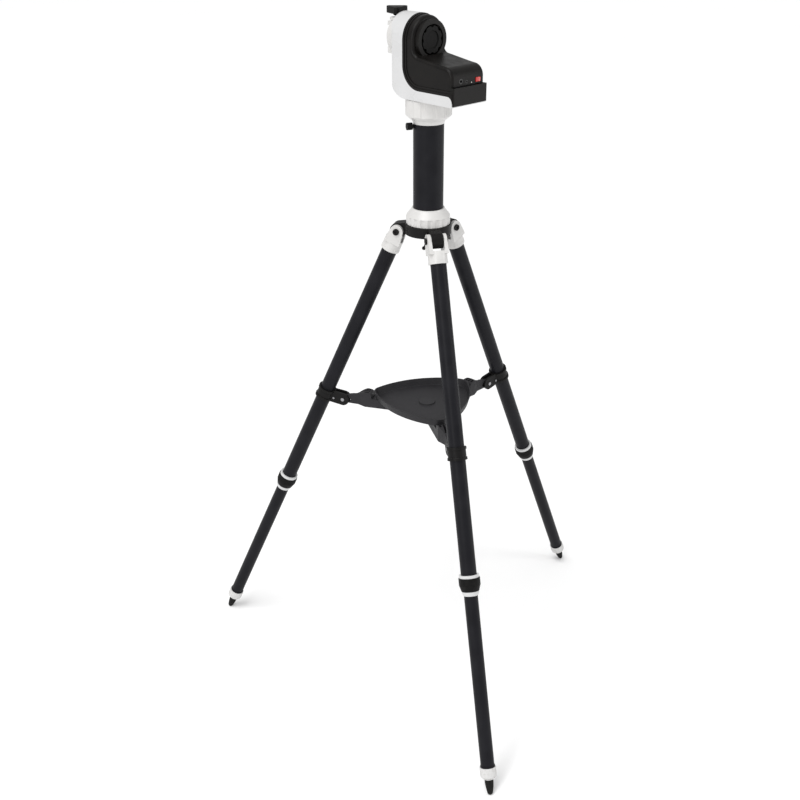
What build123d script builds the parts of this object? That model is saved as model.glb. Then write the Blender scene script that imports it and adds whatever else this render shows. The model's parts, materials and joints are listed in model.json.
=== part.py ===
from build123d import *
import os
from math import acos, cos, degrees, pi, radians, sin

os.makedirs("parts", exist_ok=True)

# A motorised single-arm mount on an extension pillar and a three-legged stand.
# Origin on the ground under the turning axis, +Z up. The tilting axis runs along X:
# the saddle is at -X, the clutch knob and the panel face +X.

# ---- fits ----
RUN = 0.05            # radial play of a shaft turning in a hole
SLIDE = 0.25          # play of telescoping and sliding pieces
GAP = 0.4             # space between faces that move past each other
SEAT = 0.02           # play of a piece that is pressed or glued in

# ---- legs (measured down the leg from its hinge) ----
LEG_ANGLES = {"a": -30.0, "b": 210.0, "c": 90.0}
LEG_SPLAY = 23.8
TIP_REACH = 1103.1    # hinge to the centre of the rubber tip's round end
TIP_RADIUS = 6.0
HINGE_HEIGHT = TIP_REACH * cos(radians(LEG_SPLAY)) + TIP_RADIUS
TUBE_WALL = 1.5
UPPER_TUBE_R = 16.0
LOWER_TUBE_R = UPPER_TUBE_R - TUBE_WALL - 0.5
FORK_END = 46.0
FORK_SLOT = 21.0
FORK_R = UPPER_TUBE_R + 3.25
FORK_BAND = 5.5       # slightly thicker band at the fork's lower end
EAR_R = 13.5
EAR_WALL = 7.2
KNUCKLE_WIDTH = 24.0
KNUCKLE_R = 15.5
HINGE_PIN_R = 4.0
BOLT_HEAD_R = 6.5
BOLT_HEAD = 3.0
COLLAR_AT = 662.0     # top of the white ring above the twist collar
COLLAR_RING = 6.0
COLLAR_RING_R = UPPER_TUBE_R + 4.0
COLLAR_LENGTH = 27.0
COLLAR_R = UPPER_TUBE_R + 5.5
COLLAR_SMALL_R = LOWER_TUBE_R + 4.0
COLLET_NOSE = 9.0
COLLET_R = LOWER_TUBE_R + 3.5
COLLET_TIP_R = LOWER_TUBE_R + 1.4
TUBE_OVERLAP = 150.0  # lower tube held inside the upper one when fully out
LEG_CLOSING = 330.0   # how far the lower tube slides in
FOOT_AT = TIP_REACH - 51.4
FOOT_CAP = 25.3
FOOT_CAP_STRAIGHT = 19.0
FOOT_CAP_R = LOWER_TUBE_R + 2.5
TIP_NECK_R = 8.8

# ---- leg bracket and spreader ----
BRACKET_AT = 420.0
BRACKET_HEIGHT = 26.0
BRACKET_WALL = 2.5
ARM_PIVOT_IN = UPPER_TUBE_R + 26.0   # arm pivot, inward of the leg's centre line
ARM_PIVOT_UP = 7.0    # and up the leg from the band's middle
ARM_PIVOT_R = 3.0
BRACKET_EAR_R = 14.0
BRACKET_EAR = 4.5
TONGUE = 8.0
EYE_R = 8.0
HUB_PIVOT_RADIUS = 22.0
HUB_R = 30.0
FOLD = 8.0            # degrees of fold that the slotted eyes leave room for
ARM_WIDTH = 26.0
ARM_WALL = 3.0
ARM_DROP = 9.0        # arm's straight lower edge below its pivots
ARM_CREST = 24.0      # highest point of its upper edge above them
TRAY_LIFT = 15.0      # tray's floor above the arms' pivots
TRAY_CORNER = 118.0
TRAY_SIDE = 91.0
TRAY_CORNER_R = 24.0
TRAY_RIM = 15.0
TRAY_WALL = 2.5
TRAY_DISC_R = 17.5
TRAY_DISC = 3.0       # height of the flat disc in the middle of the tray

# ---- tripod head, pillar ----
PILLAR_R = 30.0
PLATE_R = PILLAR_R + 16.5
HINGE_RADIUS = PLATE_R + 14.8
PLATE_BELOW = 1.3     # below the hinge axis
PLATE_ABOVE = 19.0
PLATE_WALL = 6.0
RING_R = PILLAR_R + 13.9
RING_HEIGHT = 32.2
RING_BAND = 18.0
RING_SCALLOPS = 18
RING_LIP = 4.5
PILLAR_WALL = 3.0
PILLAR_LENGTH = 171.0
STUD_R = 5.0

# ---- turning base ----
COLLAR_SLEEVE = 8.0
COLLAR_SLEEVE_R = PILLAR_R + 3.0
CLUTCH_BORE = PILLAR_R + 6.4
CLUTCH_R = CLUTCH_BORE + 8.6
CLUTCH_HEIGHT = 38.0
CLUTCH_TAPER = 7.0
CLUTCH_SCALLOPS = 12
LOCK_ANGLE = 245.0
LOCK_DOWN = 4.5       # lock screw below the pillar's top
LOCK_R = 2.5
LOCK_KNOB_R = 7.0
LOCK_KNOB = 11.0

# ---- head (heights above the head's underside) ----
HEAD_WIDTH = 92.0
SPINE_X = -64.0
ARM_FACE_X = 0.0
PANEL_X = 102.0
SKIRT_X = 104.7
WALL = 3.0
CELL_R = 7.1
DRAWER_WALL = 1.5
DRAWER_PLAY = 0.6     # space under the drawer
DRAWER_HEAD = 1.5     # space above its cells
PANEL_LOW = WALL + DRAWER_PLAY + DRAWER_WALL + 4 * CELL_R + DRAWER_HEAD   # lower edge of the panel
AXIS_UP = PANEL_LOW + 71.0   # tilting axis above the underside
SHOULDER_X = 72.0
SHOULDER_UP = PANEL_LOW + 35.5
SHOULDER_R = 60.0
NOSE_FALL = 3.0
NOSE_R = 21.5
ROOT_UP = PANEL_LOW + 46.0   # where the base's top meets the arm, and its hollow rounding
ROOT_R = 14.0
HEEL_R = 47.0
SPINE_CORNER_R = 18.0
EDGE_R = 7.0          # soft edge over the arm, down the slope and the panel
STEP = 1.2            # height of each ridge in the cover
RIDGES = (5.0, 9.5)   # ridge distances from the parting line
PART_X = -25.0
PART_UP = 19.0
PART_R = 43.0
PART_NOSE_R = 12.0
BOSS_R = 37.0
BOSS_LONG = 9.0
RECESS_R = 28.5

# ---- drives ----
SHAFT_R = 8.0
TURN_SHAFT_R = 10.0
BEARING_WALL = 5.0
BEARING_LONG = 6.0
MODULE = 1.25
WHEEL_TEETH = 48
PINION_TEETH = 12
WHEEL_WIDTH = 7.0
MOTOR_R = 12.0
MOTOR_LONG = 36.0
SPINDLE_R = 2.0

# ---- saddle and knobs ----
SADDLE_R = 34.0
SADDLE_FACE_X = -80.0
JAW_LONG = 14.0
JAW_WIDTH = 36.0
GROOVE_LOW = 23.5     # fixed jaw below the axis
GROOVE_HIGH = 21.5    # moving jaw above the axis, slot fully open
JAW_THICK = 5.0
CLAMP_SCREW_R = 3.0
CLAMP_KNOB_R = 22.0
CLAMP_LOBE = -45.0    # way that one lobe points at rest
CLAMP_KNOB = 12.5
CLUTCH_KNOB_R = 25.5
CLUTCH_KNOB = 8.4

# ---- battery drawer, panel ----
DRAWER_FRONT_X = 108.0
DRAWER_LOW = 2.0
DRAWER_DEEP = 60.0
CELL_LONG = 50.0
POWER_Y = -19.0
POWER_UP = PANEL_LOW + 9.0
POWER_R = 2.8
PORT_Y = -3.7
PORT_UP = PANEL_LOW + 7.0
PORT_R = 1.8
LAMP_Y = 8.8
LAMP_UP = PANEL_LOW + 4.5
SWITCH_Y = 25.3
SWITCH_UP = PANEL_LOW + 8.0
SWITCH_WIDTH = 12.0
SWITCH_TALL = 8.2

# ---- heights that follow ----
PLATE_TOP = HINGE_HEIGHT + PLATE_ABOVE
PLATE_LOW = HINGE_HEIGHT - PLATE_BELOW
RING_TOP = PLATE_TOP + RING_HEIGHT
PILLAR_LOW = RING_TOP - RING_LIP
PILLAR_TOP = PILLAR_LOW + PILLAR_LENGTH
CLUTCH_LOW = PILLAR_TOP + COLLAR_SLEEVE + 1.0
HEAD_LOW = CLUTCH_LOW + CLUTCH_HEIGHT + 1.0
AXIS_Z = HEAD_LOW + AXIS_UP
HEAD_HALF = HEAD_WIDTH / 2
WHEEL_R = MODULE * WHEEL_TEETH / 2
PINION_R = MODULE * PINION_TEETH / 2
DRIVE_SPAN = WHEEL_R + PINION_R


def finish(piece, name):
    """Label a finished piece and write it."""
    piece.part.label = name
    export_step(piece.part, f"parts/{name}.step")


# ======================= legs =======================

def leg_axis(angle):
    """Unit vector down a leg."""
    out = sin(radians(LEG_SPLAY))
    return Vector(out * cos(radians(angle)), out * sin(radians(angle)), -cos(radians(LEG_SPLAY)))


def leg_hinge(angle):
    return Vector(
        HINGE_RADIUS * cos(radians(angle)), HINGE_RADIUS * sin(radians(angle)), HINGE_HEIGHT
    )


def tangent(angle):
    return Vector(-sin(radians(angle)), cos(radians(angle)), 0)


def across(angle, along):
    """Plane square to the leg, X along the hinge, Y to the leg's outer side."""
    axis = leg_axis(angle)
    return Plane(origin=leg_hinge(angle) + axis * along, x_dir=tangent(angle), z_dir=axis)


def beside(angle, along=0.0):
    """Plane through the leg's centre line, X down the leg, Y towards the pillar."""
    axis = leg_axis(angle)
    return Plane(origin=leg_hinge(angle) + axis * along, x_dir=axis, z_dir=tangent(angle))


def leg_turned(angle, points):
    """Solid of revolution about the leg from (radius, distance down the leg) points."""
    with BuildPart() as turned:
        with BuildSketch(beside(angle)):
            with BuildLine():
                Polyline([(along, radius) for radius, along in points], close=True)
            make_face()
        revolve(axis=Axis(leg_hinge(angle), leg_axis(angle)))
    return turned


def make_fork(angle):
    half = KNUCKLE_WIDTH / 2 + GAP / 2
    with BuildPart() as fork:
        with BuildSketch(beside(angle)):
            Circle(EAR_R)
            with Locations((FORK_SLOT + 3, 0)):
                Rectangle(6, 2 * FORK_R - 5)
            make_hull()
        extrude(amount=half + EAR_WALL, both=True)
        with BuildSketch(across(angle, FORK_SLOT)):
            Circle(FORK_R)
        extrude(amount=FORK_END - FORK_SLOT)
        with BuildSketch(across(angle, FORK_END - FORK_BAND)):
            Circle(FORK_R + 0.5)
        extrude(amount=FORK_BAND)
        with BuildSketch(beside(angle)):
            Rectangle(2 * FORK_SLOT, 3 * FORK_R)
        extrude(amount=half, both=True, mode=Mode.SUBTRACT)
        with BuildSketch(across(angle, FORK_SLOT + 3)):
            Circle(UPPER_TUBE_R + SEAT)
        extrude(amount=FORK_END, mode=Mode.SUBTRACT)
        with BuildSketch(beside(angle)):
            Circle(HINGE_PIN_R + RUN)
        extrude(amount=2 * FORK_R, both=True, mode=Mode.SUBTRACT)
    return fork


def make_upper_tube(angle):
    start = FORK_SLOT + 3.2
    length = COLLAR_AT + COLLAR_RING + 8 - start
    with BuildPart() as tube:
        with BuildSketch(across(angle, start)):
            Circle(UPPER_TUBE_R)
            Circle(UPPER_TUBE_R - TUBE_WALL, mode=Mode.SUBTRACT)
        extrude(amount=length)
    return tube


def make_ferrule(angle):
    """White ring, threaded core and collet nose in one moulding."""
    top = COLLAR_AT
    ring_end = top + COLLAR_RING
    tube_end = ring_end + 8.2
    nose = ring_end + COLLAR_LENGTH
    core_r = UPPER_TUBE_R + 1.6
    inner = LOWER_TUBE_R + SLIDE
    points = [
        (UPPER_TUBE_R + SEAT, top),
        (COLLAR_RING_R, top),
        (COLLAR_RING_R, ring_end),
        (core_r, ring_end),
        (core_r, ring_end + COLLAR_LENGTH * 0.6),
        (COLLET_TIP_R + 0.2, ring_end + COLLAR_LENGTH * 0.75),
        (COLLET_TIP_R + 0.2, nose + GAP),
        (COLLET_R, nose + GAP),
        (COLLET_R, nose + 2),
        (COLLET_TIP_R, nose + COLLET_NOSE),
        (inner, nose + COLLET_NOSE),
        (inner, tube_end),
        (UPPER_TUBE_R + SEAT, tube_end),
    ]
    return leg_turned(angle, points)


def make_twist_collar(angle):
    start = COLLAR_AT + COLLAR_RING + 0.3
    end = COLLAR_AT + COLLAR_RING + COLLAR_LENGTH
    core_r = UPPER_TUBE_R + 1.6
    points = [
        (core_r + RUN, start),
        (COLLAR_R, start),
        (COLLAR_R, start + COLLAR_LENGTH * 0.55),
        (COLLAR_SMALL_R, end),
        (COLLET_TIP_R + 0.2 + GAP, end),
        (COLLET_TIP_R + 0.2 + GAP, start + COLLAR_LENGTH * 0.78),
        (core_r + RUN, start + COLLAR_LENGTH * 0.64),
    ]
    return leg_turned(angle, points)


def make_lower_tube(angle):
    start = COLLAR_AT + COLLAR_RING - TUBE_OVERLAP
    with BuildPart() as tube:
        with BuildSketch(across(angle, start)):
            Circle(LOWER_TUBE_R)
            Circle(LOWER_TUBE_R - TUBE_WALL, mode=Mode.SUBTRACT)
        extrude(amount=FOOT_AT + 12 - start)
        with BuildSketch(across(angle, FOOT_AT - 3)):
            Circle(LOWER_TUBE_R + 1)
            Circle(LOWER_TUBE_R - TUBE_WALL, mode=Mode.SUBTRACT)
        extrude(amount=3)
    return tube


def make_foot_cap(angle):
    end = FOOT_AT + FOOT_CAP
    points = [
        (0, FOOT_AT + 12.2),
        (LOWER_TUBE_R + SEAT, FOOT_AT + 12.2),
        (LOWER_TUBE_R + SEAT, FOOT_AT),
        (FOOT_CAP_R, FOOT_AT),
        (FOOT_CAP_R, FOOT_AT + FOOT_CAP_STRAIGHT),
        (TIP_NECK_R + 1, end),
        (TIP_NECK_R - 2, end),
        (TIP_NECK_R - 2, FOOT_AT + 17),
        (0, FOOT_AT + 17),
    ]
    return leg_turned(angle, points)


def make_foot_tip(angle):
    """Rubber tip: a peg in the cap, a flare and a round end on the ground."""
    peg_r = TIP_NECK_R - 2 - SEAT
    with BuildPart() as tip:
        with BuildSketch(beside(angle)):
            with BuildLine():
                foot = FOOT_AT + FOOT_CAP
                Polyline(
                    (TIP_REACH + TIP_RADIUS, 0),
                    (FOOT_AT + 17.1, 0),
                    (FOOT_AT + 17.1, peg_r),
                    (foot, peg_r),
                    (foot, TIP_NECK_R),
                    (foot + 8, TIP_NECK_R),
                    (TIP_REACH - 9, TIP_NECK_R - 1),
                    (TIP_REACH, TIP_RADIUS),
                )
                CenterArc((TIP_REACH, 0), TIP_RADIUS, 0, 90)
            make_face()
        revolve(axis=Axis(leg_hinge(angle), leg_axis(angle)))
    return tip


def make_bracket(angle):
    """Clamp band round the upper tube, with two ears towards the pillar."""
    outer = UPPER_TUBE_R + BRACKET_WALL
    half = TONGUE / 2 + GAP
    low = BRACKET_AT - BRACKET_HEIGHT / 2
    with BuildPart() as bracket:
        with BuildSketch(beside(angle, BRACKET_AT)):
            with Locations((-ARM_PIVOT_UP, ARM_PIVOT_IN)):
                Circle(BRACKET_EAR_R)
            with Locations((0, outer - 6)):
                Rectangle(BRACKET_HEIGHT, 6)
            make_hull()
        extrude(amount=half + BRACKET_EAR, both=True)
        with BuildSketch(beside(angle, BRACKET_AT)):
            with Locations((0, ARM_PIVOT_IN + outer / 2 + SLIDE)):
                Rectangle(3 * BRACKET_HEIGHT, 2 * ARM_PIVOT_IN - outer)
        extrude(amount=half, both=True, mode=Mode.SUBTRACT)
        with BuildSketch(across(angle, low)):
            Circle(outer)
        extrude(amount=BRACKET_HEIGHT)
        for rim in (low, low + BRACKET_HEIGHT - 5):
            with BuildSketch(across(angle, rim)):
                Circle(outer + 1.6)
            extrude(amount=5)
        with BuildSketch(across(angle, low - BRACKET_EAR_R)):
            Circle(UPPER_TUBE_R + SEAT)
        extrude(amount=BRACKET_HEIGHT + 2 * BRACKET_EAR_R, mode=Mode.SUBTRACT)
        with BuildSketch(beside(angle, BRACKET_AT)):
            with Locations((-ARM_PIVOT_UP, ARM_PIVOT_IN)):
                Circle(ARM_PIVOT_R + SEAT)
        extrude(amount=2 * BRACKET_EAR_R, both=True, mode=Mode.SUBTRACT)
    return bracket


def make_bracket_pins(angle):
    """The arm's pivot pin and the two heads of the band's clamp screw."""
    face = TONGUE / 2 + GAP + BRACKET_EAR
    band = UPPER_TUBE_R + BRACKET_WALL + 4.2
    with BuildPart() as pins:
        with BuildSketch(beside(angle, BRACKET_AT)):
            with Locations((-ARM_PIVOT_UP, ARM_PIVOT_IN)):
                Circle(ARM_PIVOT_R)
        extrude(amount=face + 1, both=True)
        for side in (1, -1):
            plane = beside(angle, BRACKET_AT).offset(side * (face + SEAT))
            with BuildSketch(plane):
                with Locations((-ARM_PIVOT_UP, ARM_PIVOT_IN)):
                    Circle(ARM_PIVOT_R + 0.9)
                with Locations((0, band)):
                    Circle(ARM_PIVOT_R - 0.8)
            extrude(amount=side * 1.8)
    return pins


# ======================= spreader =======================

def pivot_point(fold=0.0):
    """Radius and height of the arm's pivot on the leg, with the leg folded in."""
    lean = radians(LEG_SPLAY - fold)
    down = BRACKET_AT - ARM_PIVOT_UP
    radius = HINGE_RADIUS + down * sin(lean) - ARM_PIVOT_IN * cos(lean)
    height = HINGE_HEIGHT - down * cos(lean) - ARM_PIVOT_IN * sin(lean)
    return radius, height


PIVOT_R, PIVOT_Z = pivot_point()
ARM_LENGTH = PIVOT_R - HUB_PIVOT_RADIUS
FOLDED_R, FOLDED_Z = pivot_point(FOLD)
ARM_FOLD = degrees(acos((FOLDED_R - HUB_PIVOT_RADIUS) / ARM_LENGTH))
HUB_RISE = FOLDED_Z + ARM_LENGTH * sin(radians(ARM_FOLD)) - PIVOT_Z
TRAY_FLOOR = PIVOT_Z + TRAY_LIFT
SLOT_STEPS = 8


def radial(angle, up=0.0):
    """Upright plane through the pillar's axis and a leg, X outward, Y up."""
    out = Vector(cos(radians(angle)), sin(radians(angle)), 0)
    return Plane(origin=(0, 0, up), x_dir=out, z_dir=out.cross(Vector(0, 0, 1)))


def flat(angle, up):
    """Level plane with X towards a leg."""
    out = Vector(cos(radians(angle)), sin(radians(angle)), 0)
    return Plane(origin=(0, 0, up), x_dir=out, z_dir=(0, 0, 1))


def slot_path():
    """Where the leg's pin goes in the arm's frame while the leg folds."""
    spots = []
    for step in range(SLOT_STEPS + 1):
        share = step / SLOT_STEPS
        pin_r, pin_z = pivot_point(FOLD * share)
        along = pin_r - HUB_PIVOT_RADIUS
        up = pin_z - PIVOT_Z - HUB_RISE * share
        lean = radians(ARM_FOLD * share)
        spots.append((
            HUB_PIVOT_RADIUS + along * cos(lean) - up * sin(lean),
            along * sin(lean) + up * cos(lean),
        ))
    return spots


def make_arm(angle):
    """Channel arm: deep outside the tray, low under it, with a slotted eye at the leg."""
    reach = TRAY_CORNER + 5
    under = TRAY_FLOOR - PIVOT_Z - TRAY_WALL - 1.5
    knuckle = under - 1
    neck = PIVOT_R - 30
    half = ARM_WIDTH / 2
    thin = TONGUE / 2
    with BuildPart() as arm:
        with BuildSketch(radial(angle, PIVOT_Z)):
            with BuildLine():
                Line((PIVOT_R, EYE_R), (neck + 8, EYE_R + 5))
                Spline(
                    (neck + 8, EYE_R + 5),
                    (neck - 2, EYE_R + 7),
                    (neck - 18, ARM_CREST - 0.5),
                    (reach + 8, ARM_CREST),
                    (reach, ARM_CREST - 3),
                )
                Polyline((reach, ARM_CREST - 3), (reach - 2, under), (HUB_PIVOT_RADIUS, knuckle))
                RadiusArc((HUB_PIVOT_RADIUS, -knuckle), (HUB_PIVOT_RADIUS, knuckle), knuckle)
                Polyline(
                    (HUB_PIVOT_RADIUS, -knuckle),
                    (HUB_PIVOT_RADIUS + 20, -ARM_DROP),
                    (neck, -ARM_DROP),
                    (PIVOT_R, -EYE_R),
                )
                RadiusArc((PIVOT_R, EYE_R), (PIVOT_R, -EYE_R), EYE_R)
            make_face()
        extrude(amount=half, both=True)
        with BuildSketch(flat(angle, PIVOT_Z - 2 * ARM_CREST)):
            Polygon(
                (0, thin),
                (HUB_R + 14, thin),
                (HUB_R + 30, half),
                (reach + 14, half),
                (neck - 4, thin),
                (PIVOT_R + 20, thin),
                (PIVOT_R + 20, -thin),
                (neck - 4, -thin),
                (reach + 14, -half),
                (HUB_R + 30, -half),
                (HUB_R + 14, -thin),
                (0, -thin),
                align=None,
            )
        extrude(amount=4 * ARM_CREST, mode=Mode.INTERSECT)
        cell = (ARM_WIDTH - 4 * ARM_WALL) / 3
        with BuildSketch(flat(angle, PIVOT_Z - ARM_DROP)):
            with Locations(((HUB_R + 30 + reach) / 2 + 2, 0)):
                with GridLocations(0, cell + ARM_WALL, 1, 3):
                    Rectangle(reach - HUB_R - 30, cell)
        extrude(amount=under + ARM_DROP - ARM_WALL, mode=Mode.SUBTRACT)
        with BuildSketch(flat(angle, PIVOT_Z - ARM_DROP + ARM_WALL)):
            with Locations((reach + 11, 0)):
                with GridLocations(0, 2 * (cell + ARM_WALL), 1, 2):
                    Rectangle(10, cell)
            with Locations(((reach + 6 + neck - 6) / 2, 0)):
                Rectangle(neck - reach - 12, cell)
        extrude(amount=2 * ARM_CREST, mode=Mode.SUBTRACT)
        with BuildSketch(radial(angle, PIVOT_Z)):
            with Locations((HUB_PIVOT_RADIUS, 0)):
                Circle(ARM_PIVOT_R + RUN)
        extrude(amount=ARM_WIDTH, both=True, mode=Mode.SUBTRACT)
        with BuildSketch(radial(angle, PIVOT_Z)):
            with Locations(*slot_path()):
                Circle(ARM_PIVOT_R + GAP)
            make_hull()
        extrude(amount=ARM_WIDTH, both=True, mode=Mode.SUBTRACT)
    return arm


def make_spreader_hub():
    """Round plate with three forks for the arms and a boss that carries the tray."""
    half = TONGUE / 2 + GAP
    under = TRAY_FLOOR - PIVOT_Z - TRAY_WALL
    with BuildPart() as hub:
        with BuildSketch(Plane.XY.offset(PIVOT_Z - ARM_DROP)):
            Circle(HUB_R)
        extrude(amount=ARM_DROP + under)
        for angle in LEG_ANGLES.values():
            with BuildSketch(flat(angle, PIVOT_Z - 20)):
                with Locations((HUB_R, 0)):
                    Rectangle(2 * (HUB_R - 12), 2 * half)
            extrude(amount=40, mode=Mode.SUBTRACT)
            with BuildSketch(radial(angle, PIVOT_Z)):
                with Locations((HUB_PIVOT_RADIUS, 0)):
                    Circle(ARM_PIVOT_R + SEAT)
            extrude(amount=half + 7, both=True, mode=Mode.SUBTRACT)
        with BuildSketch(Plane.XY.offset(PIVOT_Z - ARM_DROP)):
            Circle(STUD_R + RUN)
        extrude(amount=60, mode=Mode.SUBTRACT)
    return hub


def make_hub_pins():
    with BuildPart() as pins:
        for angle in LEG_ANGLES.values():
            with BuildSketch(radial(angle, PIVOT_Z)):
                with Locations((HUB_PIVOT_RADIUS, 0)):
                    Circle(ARM_PIVOT_R)
            extrude(amount=TONGUE / 2 + GAP + 6, both=True)
    return pins


def tray_outline(inset):
    """Bowed triangle with a corner towards each leg, drawn as arcs."""
    corner = TRAY_CORNER - TRAY_CORNER_R
    points = [
        (corner * cos(radians(a)), corner * sin(radians(a))) for a in LEG_ANGLES.values()
    ]
    with BuildSketch() as outline:
        with BuildLine():
            middles = []
            for angle in (-90.0, 150.0, 30.0):
                side = TRAY_SIDE - TRAY_CORNER_R
                middles.append((side * cos(radians(angle)), side * sin(radians(angle))))
            ThreePointArc(points[0], middles[0], points[1])
            ThreePointArc(points[1], middles[1], points[2])
            ThreePointArc(points[2], middles[2], points[0])
        make_face()
        offset(amount=TRAY_CORNER_R - inset)
    return outline.sketch


def make_tray():
    outer = tray_outline(0)
    inner = tray_outline(TRAY_WALL)
    foot = tray_outline(5)
    inner_foot = tray_outline(5 + TRAY_WALL)
    low = TRAY_FLOOR - TRAY_WALL
    with BuildPart() as tray:
        with BuildSketch(Plane.XY.offset(low)):
            add(foot)
        with BuildSketch(Plane.XY.offset(TRAY_FLOOR + TRAY_RIM)):
            add(outer)
        loft()
        with BuildSketch(Plane.XY.offset(TRAY_FLOOR)):
            add(inner_foot)
        with BuildSketch(Plane.XY.offset(TRAY_FLOOR + TRAY_RIM + 1)):
            add(inner)
        loft(mode=Mode.SUBTRACT)
        with BuildSketch(Plane.XY.offset(low)):
            Circle(TRAY_DISC_R)
        extrude(amount=TRAY_WALL + TRAY_DISC)
        with BuildSketch(Plane.XY.offset(low - 1)):
            Circle(STUD_R + RUN)
        extrude(amount=TRAY_WALL + TRAY_DISC / 2 + 1, mode=Mode.SUBTRACT)
    return tray


def make_tray_screw():
    """Hand screw under the hub, with its stud through the hub and the tray."""
    under = PIVOT_Z - ARM_DROP
    with BuildPart() as screw:
        with BuildSketch(Plane.XY.offset(under - GAP - 12)):
            Circle(14)
            with PolarLocations(15.5, 8):
                Circle(3, mode=Mode.SUBTRACT)
        extrude(amount=12)
        with BuildSketch(Plane.XY.offset(under - GAP)):
            Circle(STUD_R)
        extrude(amount=TRAY_FLOOR + TRAY_DISC / 2 - under)
    return screw


# ======================= tripod head and pillar =======================

def make_tripod_head():
    half = KNUCKLE_WIDTH / 2
    with BuildPart() as head:
        with BuildSketch(Plane.XY.offset(PLATE_LOW)):
            Circle(PLATE_R)
        extrude(amount=PLATE_ABOVE + PLATE_BELOW)
        for angle in LEG_ANGLES.values():
            with BuildSketch(radial(angle, HINGE_HEIGHT)):
                with Locations((HINGE_RADIUS, 0)):
                    Circle(KNUCKLE_R)
                with Locations((PLATE_R - 8, PLATE_ABOVE / 2)):
                    Rectangle(4, PLATE_ABOVE)
                make_hull()
            extrude(amount=half, both=True)
        with BuildSketch(Plane.XY.offset(PLATE_LOW)):
            Circle(PLATE_R - PLATE_WALL)
            Circle(STUD_R + 9, mode=Mode.SUBTRACT)
        extrude(amount=PLATE_ABOVE + PLATE_BELOW - PLATE_WALL, mode=Mode.SUBTRACT)
        for angle in LEG_ANGLES.values():
            with BuildSketch(radial(angle, HINGE_HEIGHT)):
                with Locations((HINGE_RADIUS, 0)):
                    Circle(HINGE_PIN_R + RUN)
            extrude(amount=2 * half, both=True, mode=Mode.SUBTRACT)
        with BuildSketch(Plane.XY.offset(PLATE_LOW - 1)):
            Circle(STUD_R + RUN)
        extrude(amount=PLATE_ABOVE + 10, mode=Mode.SUBTRACT)
    return head


def make_leg_bolts():
    """Hinge bolts of the three legs: a shank and a recessed head at each end."""
    face = KNUCKLE_WIDTH / 2 + GAP / 2 + EAR_WALL + 0.1
    with BuildPart() as bolts:
        for angle in LEG_ANGLES.values():
            middle = radial(angle, HINGE_HEIGHT)
            with BuildSketch(middle):
                with Locations((HINGE_RADIUS, 0)):
                    Circle(HINGE_PIN_R)
            extrude(amount=face + 1, both=True)
            for side in (1, -1):
                with BuildSketch(middle.offset(side * face)):
                    with Locations((HINGE_RADIUS, 0)):
                        Circle(BOLT_HEAD_R)
                extrude(amount=side * BOLT_HEAD)
                with BuildSketch(middle.offset(side * (face + BOLT_HEAD))):
                    with Locations((HINGE_RADIUS, 0)):
                        RegularPolygon(3.2, 6)
                extrude(amount=-side * 2, mode=Mode.SUBTRACT)
    return bolts


def make_centre_bolt():
    """Bolt that holds the pillar down, with a ball-ended lever."""
    collar = 15.0
    low = PLATE_LOW - GAP - collar
    start = Vector(0, 0, low + 6)
    end = Vector(9.9, -21.2, low - 10.5)
    with BuildPart() as bolt:
        with BuildSketch(Plane.XY.offset(low)):
            Circle(8.0)
        extrude(amount=collar)
        with BuildSketch(Plane.XY.offset(low + collar)):
            Circle(STUD_R)
        extrude(amount=PLATE_TOP + 4 - low - collar)
        with BuildSketch(Plane(origin=start, z_dir=end - start)):
            Circle(1.7)
        extrude(amount=(end - start).length)
        with Locations(Location(end)):
            Sphere(4.0)
    return bolt


def turned(points):
    """Solid of revolution about the turning axis from (radius, height) points."""
    with BuildPart() as body:
        with BuildSketch(Plane.XZ):
            with BuildLine():
                Polyline(points, close=True)
            make_face()
        revolve(axis=Axis.Z)
    return body


def make_pillar_ring():
    """Scalloped ring with a cone above it and a lip round the pillar."""
    low = PLATE_TOP
    band = low + RING_BAND
    inner = PILLAR_R - PILLAR_WALL - SEAT
    outer = PILLAR_R + SEAT
    points = [
        (STUD_R + RUN, low),
        (RING_R - 1, low),
        (RING_R, low + 1),
        (RING_R, band - 2),
        (RING_R - 1, band),
        (PILLAR_R + 3.2, RING_TOP - 2),
        (PILLAR_R + 2.6, RING_TOP),
        (outer, RING_TOP),
        (outer, PILLAR_LOW),
        (inner, PILLAR_LOW),
        (inner, PILLAR_LOW + 12),
        (inner - 3, PILLAR_LOW + 12),
        (inner - 3, low + 8),
        (STUD_R + RUN, low + 8),
    ]
    body = turned(points)
    with BuildPart() as ring:
        add(body.part)
        with BuildSketch(Plane.XY.offset(low)):
            with PolarLocations(RING_R + 4.8, RING_SCALLOPS):
                Circle(6.8)
        extrude(amount=RING_BAND - 1.5, mode=Mode.SUBTRACT)
    return ring


def lock_plane(out):
    """Plane square to the lock screw, at a distance from the turning axis."""
    way = Vector(cos(radians(LOCK_ANGLE)), sin(radians(LOCK_ANGLE)), 0)
    return Plane(origin=way * out + Vector(0, 0, PILLAR_TOP - LOCK_DOWN), z_dir=way)


def make_pillar():
    with BuildPart() as pillar:
        with BuildSketch(Plane.XY.offset(PILLAR_LOW)):
            Circle(PILLAR_R)
            Circle(PILLAR_R - PILLAR_WALL, mode=Mode.SUBTRACT)
        extrude(amount=PILLAR_LENGTH)
        with BuildSketch(lock_plane(0)):
            Circle(LOCK_R + RUN)
        extrude(amount=2 * PILLAR_R, mode=Mode.SUBTRACT)
    return pillar


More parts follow.
